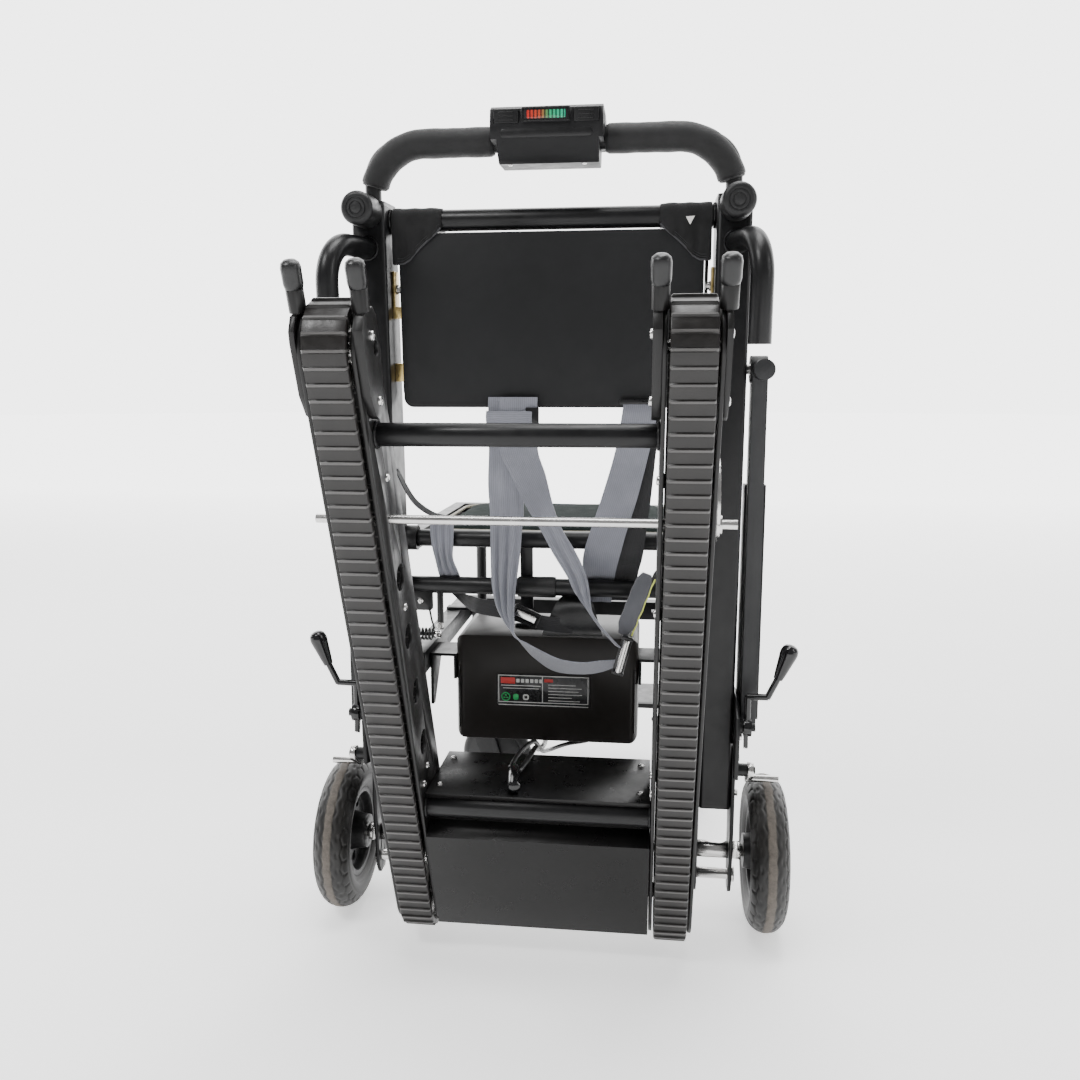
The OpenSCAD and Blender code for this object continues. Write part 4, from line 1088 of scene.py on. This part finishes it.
def swell(name, mat, size, corner, centre, axes, cap, body, crown=0.0, pinch=0.0,
          voxel=0.005):
    """A stuffed cushion: a rounded block, remeshed, blown up by cloth pressure, its movement capped."""
    w, d, h = size
    bag = Bag()
    rings = []
    for k in np.linspace(0, 1, 9):
        e = (1 - sin(pi * k) ** 0.45) * h * 0.42
        rings.append([np.array([p[0], p[1], (k - 0.5) * h / 1000]) for p in
                      rounded((w - 2 * e) / 1000, (d - 2 * e) / 1000, max(corner - e, 3) / 1000, 8)])
    bag.loft(rings)
    o = bag.make(name, mat, None, sharp=180)
    rm = o.modifiers.new("remesh", "REMESH")
    rm.mode = "VOXEL"
    rm.voxel_size = voxel
    rm.use_smooth_shade = True
    me = settled(o)
    n = len(me.vertices)
    before = np.empty(n * 3)
    me.vertices.foreach_get("co", before)
    before = before.reshape(-1, 3)
    after = before.copy()
    cl = o.modifiers.new("cloth", "CLOTH")
    cl.settings.quality = 5
    cl.settings.mass = 0.2
    cl.settings.tension_stiffness = 14
    cl.settings.compression_stiffness = 14
    cl.settings.bending_stiffness = 0.6
    cl.settings.use_pressure = True
    cl.settings.uniform_pressure_force = 4.0
    cl.settings.effector_weights.gravity = 0
    cl.point_cache.frame_start, cl.point_cache.frame_end = 1, 20
    for f in range(1, 21):
        scene.frame_set(f)
    dg = bpy.context.evaluated_depsgraph_get()
    em = o.evaluated_get(dg).data
    q = np.empty(n * 3)
    em.vertices.foreach_get("co", q)
    after = q.reshape(-1, 3)
    o.modifiers.clear()
    scene.frame_set(1)
    move = after - before
    far = np.linalg.norm(move, axis=1)
    top = cap / 1000
    k = np.where(far > 1e-9, top * np.tanh(far / top) / np.maximum(far, 1e-9), 0)
    q = before + move * k[:, None]
    u, v = q[:, 0] / (w / 2000), q[:, 1] / (d / 2000)
    au, av = np.clip(np.abs(u), 0, 1), np.clip(np.abs(v), 0, 1)
    q[:, 2] += np.where(q[:, 2] > 0, crown / 1000 * (1 - au ** 2.4) * (1 - av ** 2.4), 0)
    q[:, 0], q[:, 1] = pinched(q[:, 0], q[:, 1], w, d, pinch)
    q[:, 2] += 0.0005 * np.sin(u * 7.1 + 1.3) * np.sin(v * 6.3 + 0.4) * np.sign(q[:, 2])
    me.vertices.foreach_set("co", (centre + q @ np.array(axes, float)).ravel())
    me.update()
    sub = o.modifiers.new("smooth", "SUBSURF")
    sub.levels = sub.render_levels = 1
    smooth_faces(settled(o))
    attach(o, body)
    return o


def dense(ring, step):
    p = np.array(list(ring) + [ring[0]], float)
    out = []
    for a, b in zip(p, p[1:]):
        k = max(int(np.linalg.norm(b - a) / step), 1)
        out += [a + (b - a) * i / k for i in range(k)]
    return out


def piping(name, mat, size, corner, centre, axes, zs, r, body, slot, pinch=0.0, extra=()):
    """Sewn cords round a cushion at the heights zs, and the seams in extra across it."""
    w, d = size
    ax = np.array(axes, float)
    bag = Bag()
    for z in zs:
        ring = []
        for p in rounded(w / 1000, d / 1000, corner / 1000, 10):
            x, y = pinched(p[0], p[1], w, d, pinch)
            ring.append(centre + np.array([x, y, z / 1000]) @ ax)
        bag.tube(dense(ring, 0.004), r, 10, closed=True)
    for line in extra:
        bag.tube([centre + np.array(q) / 1000 @ ax for q in line], r * 0.6, 8)
    return bag.make(name, mat, body, slot)


SEAT = JOINTS["seat_fold"]["pos_m"]
seat_centre = np.array([0, SEAT[1] + 0.021 + 0.142, SEAT[2] + 0.0015])
o = swell("seat_pad_skin", "seat", (322, 272, 14), 34, seat_centre, LEVEL, 5, "seat",
          crown=3.5, pinch=3)
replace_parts(o, "seat_pad")
piping("seat_pad_piping", "beige", (328, 278), 36, seat_centre, LEVEL, (4.6,), 2.3, "seat", "seat_vinyl",
       pinch=3)
piping("seat_pad_welt", "cushion", (328, 278), 36, seat_centre, LEVEL, (-4.0,), 1.7, "seat", "seat_vinyl",
       pinch=3)
back_centre = back(0, 13.5, 632)
o = swell("back_cushion_skin", "cushion", (366, 192, 16), 16, back_centre, LEANING, 6, "chair",
          pinch=3)
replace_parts(o, "back_cushion")
piping("back_cushion_piping", "cushion", (372, 197), 16, back_centre, LEANING, (-4.5, 4.5), 1.9, "chair",
       "black_cloth", pinch=3, extra=[[(x, -88, -11.4), (x, 0, -12.8), (x, 88, -11.4)] for x in (-58, 58)])


TOP_TUBE_Z = 750.0
FLAP = 12.0


def pocket(side, node=None):
    """Cloth bag sewn round the top tube's end: over the tube, down both faces, hemmed along its cut edge."""
    low = [(129, 741), (135, 734.5), (142, 729), (152, 720.5), (162, 711), (168, 704), (176, 699.5),
           (188.6, 699.5)]
    lx, lz = zip(*low)
    xs = np.linspace(129, 188.6, 26)
    rows = []
    for t in np.linspace(0, 1, 30):
        row = []
        for x in xs:
            zb = float(np.interp(x, lx, lz))
            edge = max(0.0, 1 - (x - 129) / 9)
            r = 14.1 - 1.1 * edge ** 2 + 0.3 * sin(x * 0.31 + 1.2)
            straight = TOP_TUBE_Z - zb
            arc = pi * r
            s = t * (straight + arc + FLAP)
            wave = 1.1 * sin(x * 0.26 + s * 0.035) + 0.7 * sin(x * 0.6 - s * 0.05)
            if s < straight:
                z, y = zb + s, -r
                f = 1 - s / max(straight, 1)
                y += 1.7 * f * f + wave * f * 0.9
            elif s < straight + arc:
                a = (s - straight) / r
                z, y = TOP_TUBE_Z + r * sin(a), -r * cos(a)
            else:
                z, y = TOP_TUBE_Z - (s - straight - arc), r
            row.append(back(side * x, y, z))
        rows.append(row)
    o = strip("pocket_" + ("r" if side > 0 else "l"), rows, 0.0016, "cloth", "chair")
    if node:
        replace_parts(o, node)
    bag = Bag()
    hem = [back(side * x, -14.1 + 1.5 * min(1, (TOP_TUBE_Z - z) / 20), z + 0.3) for x, z in
           [(x, float(np.interp(x, lx, lz))) for x in np.linspace(129.6, 188, 40)]]
    bag.tube(hem, 1.25, 8)
    for off in (3.2, 6.0):
        for a, b in zip(hem[1:-1], hem[2:]):
            c = (a + b) / 2 + UP * off / 1000 + REAR * 0.0014
            v = (b - a) / np.linalg.norm(b - a)
            bag.box(c, (1.1, 0.5, 0.4), 0.2, axes=[v, np.cross(REAR, v), REAR])
    bag.make("pocket_hem_" + ("r" if side > 0 else "l"), "dark_thread", "chair", "black_cloth")


pocket(-1, "corner_pockets")
pocket(1)
bag = Bag()
tag = [(158.5, 747.5), (168.5, 748), (163.5, 738.5)]
ring = [back(x, -15.6, z) for x, z in tag]
bag.loft([ring, [q + REAR * 0.0007 for q in ring]])
bag.make("pocket_tag", "tag", "chair", "black_cloth")


# ---- screws and weld beads ----
bag = Bag()
for x in (-118, 118):
    for y, z in ((-66, 236.8), (-150, 237.6)):
        bag.screw(at(x, y, z), [0, 0, 1], 4.2, 2.6)
bag.make("housing_screws", "bright", "track", "bright_steel")
bag = Bag()
for s in (-1, 1):
    for x0, sg in ((187.7, 1), (130.5 - 8.2, -1)):
        for z in (676, 736):
            bag.screw(trk(s * x0, -98 if z > 700 else -101, z), [s * sg, 0, 0], 4.6, 2.8)
    for z in (213, 438, 590):
        bag.screw(trk(s * 182.6, -86, z), [s, 0, 0], 4.4, 2.4)
        bag.screw(trk(s * 130.4, -86, z), [-s, 0, 0], 4.4, 2.4)
    bag.screw(trk(s * 130.3, -107.2, 205), [-s, 0, 0], 4.0, 2.2)
bag.make("track_screws", "bright", "track", "bright_steel")


def weld(bag, centre, axis, r, n=46, size=1.5, seed=0):
    u, v, a = basis(axis)
    pts, rad = [], []
    for i in range(n):
        t = 2 * pi * i / n
        k = r + 0.5 + 0.25 * sin(i * 2.1 + seed)
        pts.append(np.array(centre) + (u * cos(t) + v * sin(t)) * k / 1000)
        rad.append(size + 0.35 * (i % 2) + 0.15 * sin(i * 0.9 + seed))
    bag.tube(pts, rad, 8, closed=True)


bag = Bag()
for s in (-1, 1):
    for z, r in ((750, 12.5), (361.5, 11), (299.4, 11)):
        weld(bag, back(s * 191.6, 0, z), XA, r, seed=z)
    q = back(s * 215, -30, 717)
    weld(bag, q + np.array([0, -0.0012, 0]), FWD, 12.6, seed=3)
bag.make("weld_beads", "powder", "chair", "powder_black")
bag = Bag()
for s in (-1, 1):
    weld(bag, trk(s * 129.3, -97.9, 641.4), XA, 11.2, seed=1)
    weld(bag, trk(s * 129.3, -107.2, 172), XA, 13.2, seed=2)
bag.make("track_weld_beads", "powder", "track", "powder_black")
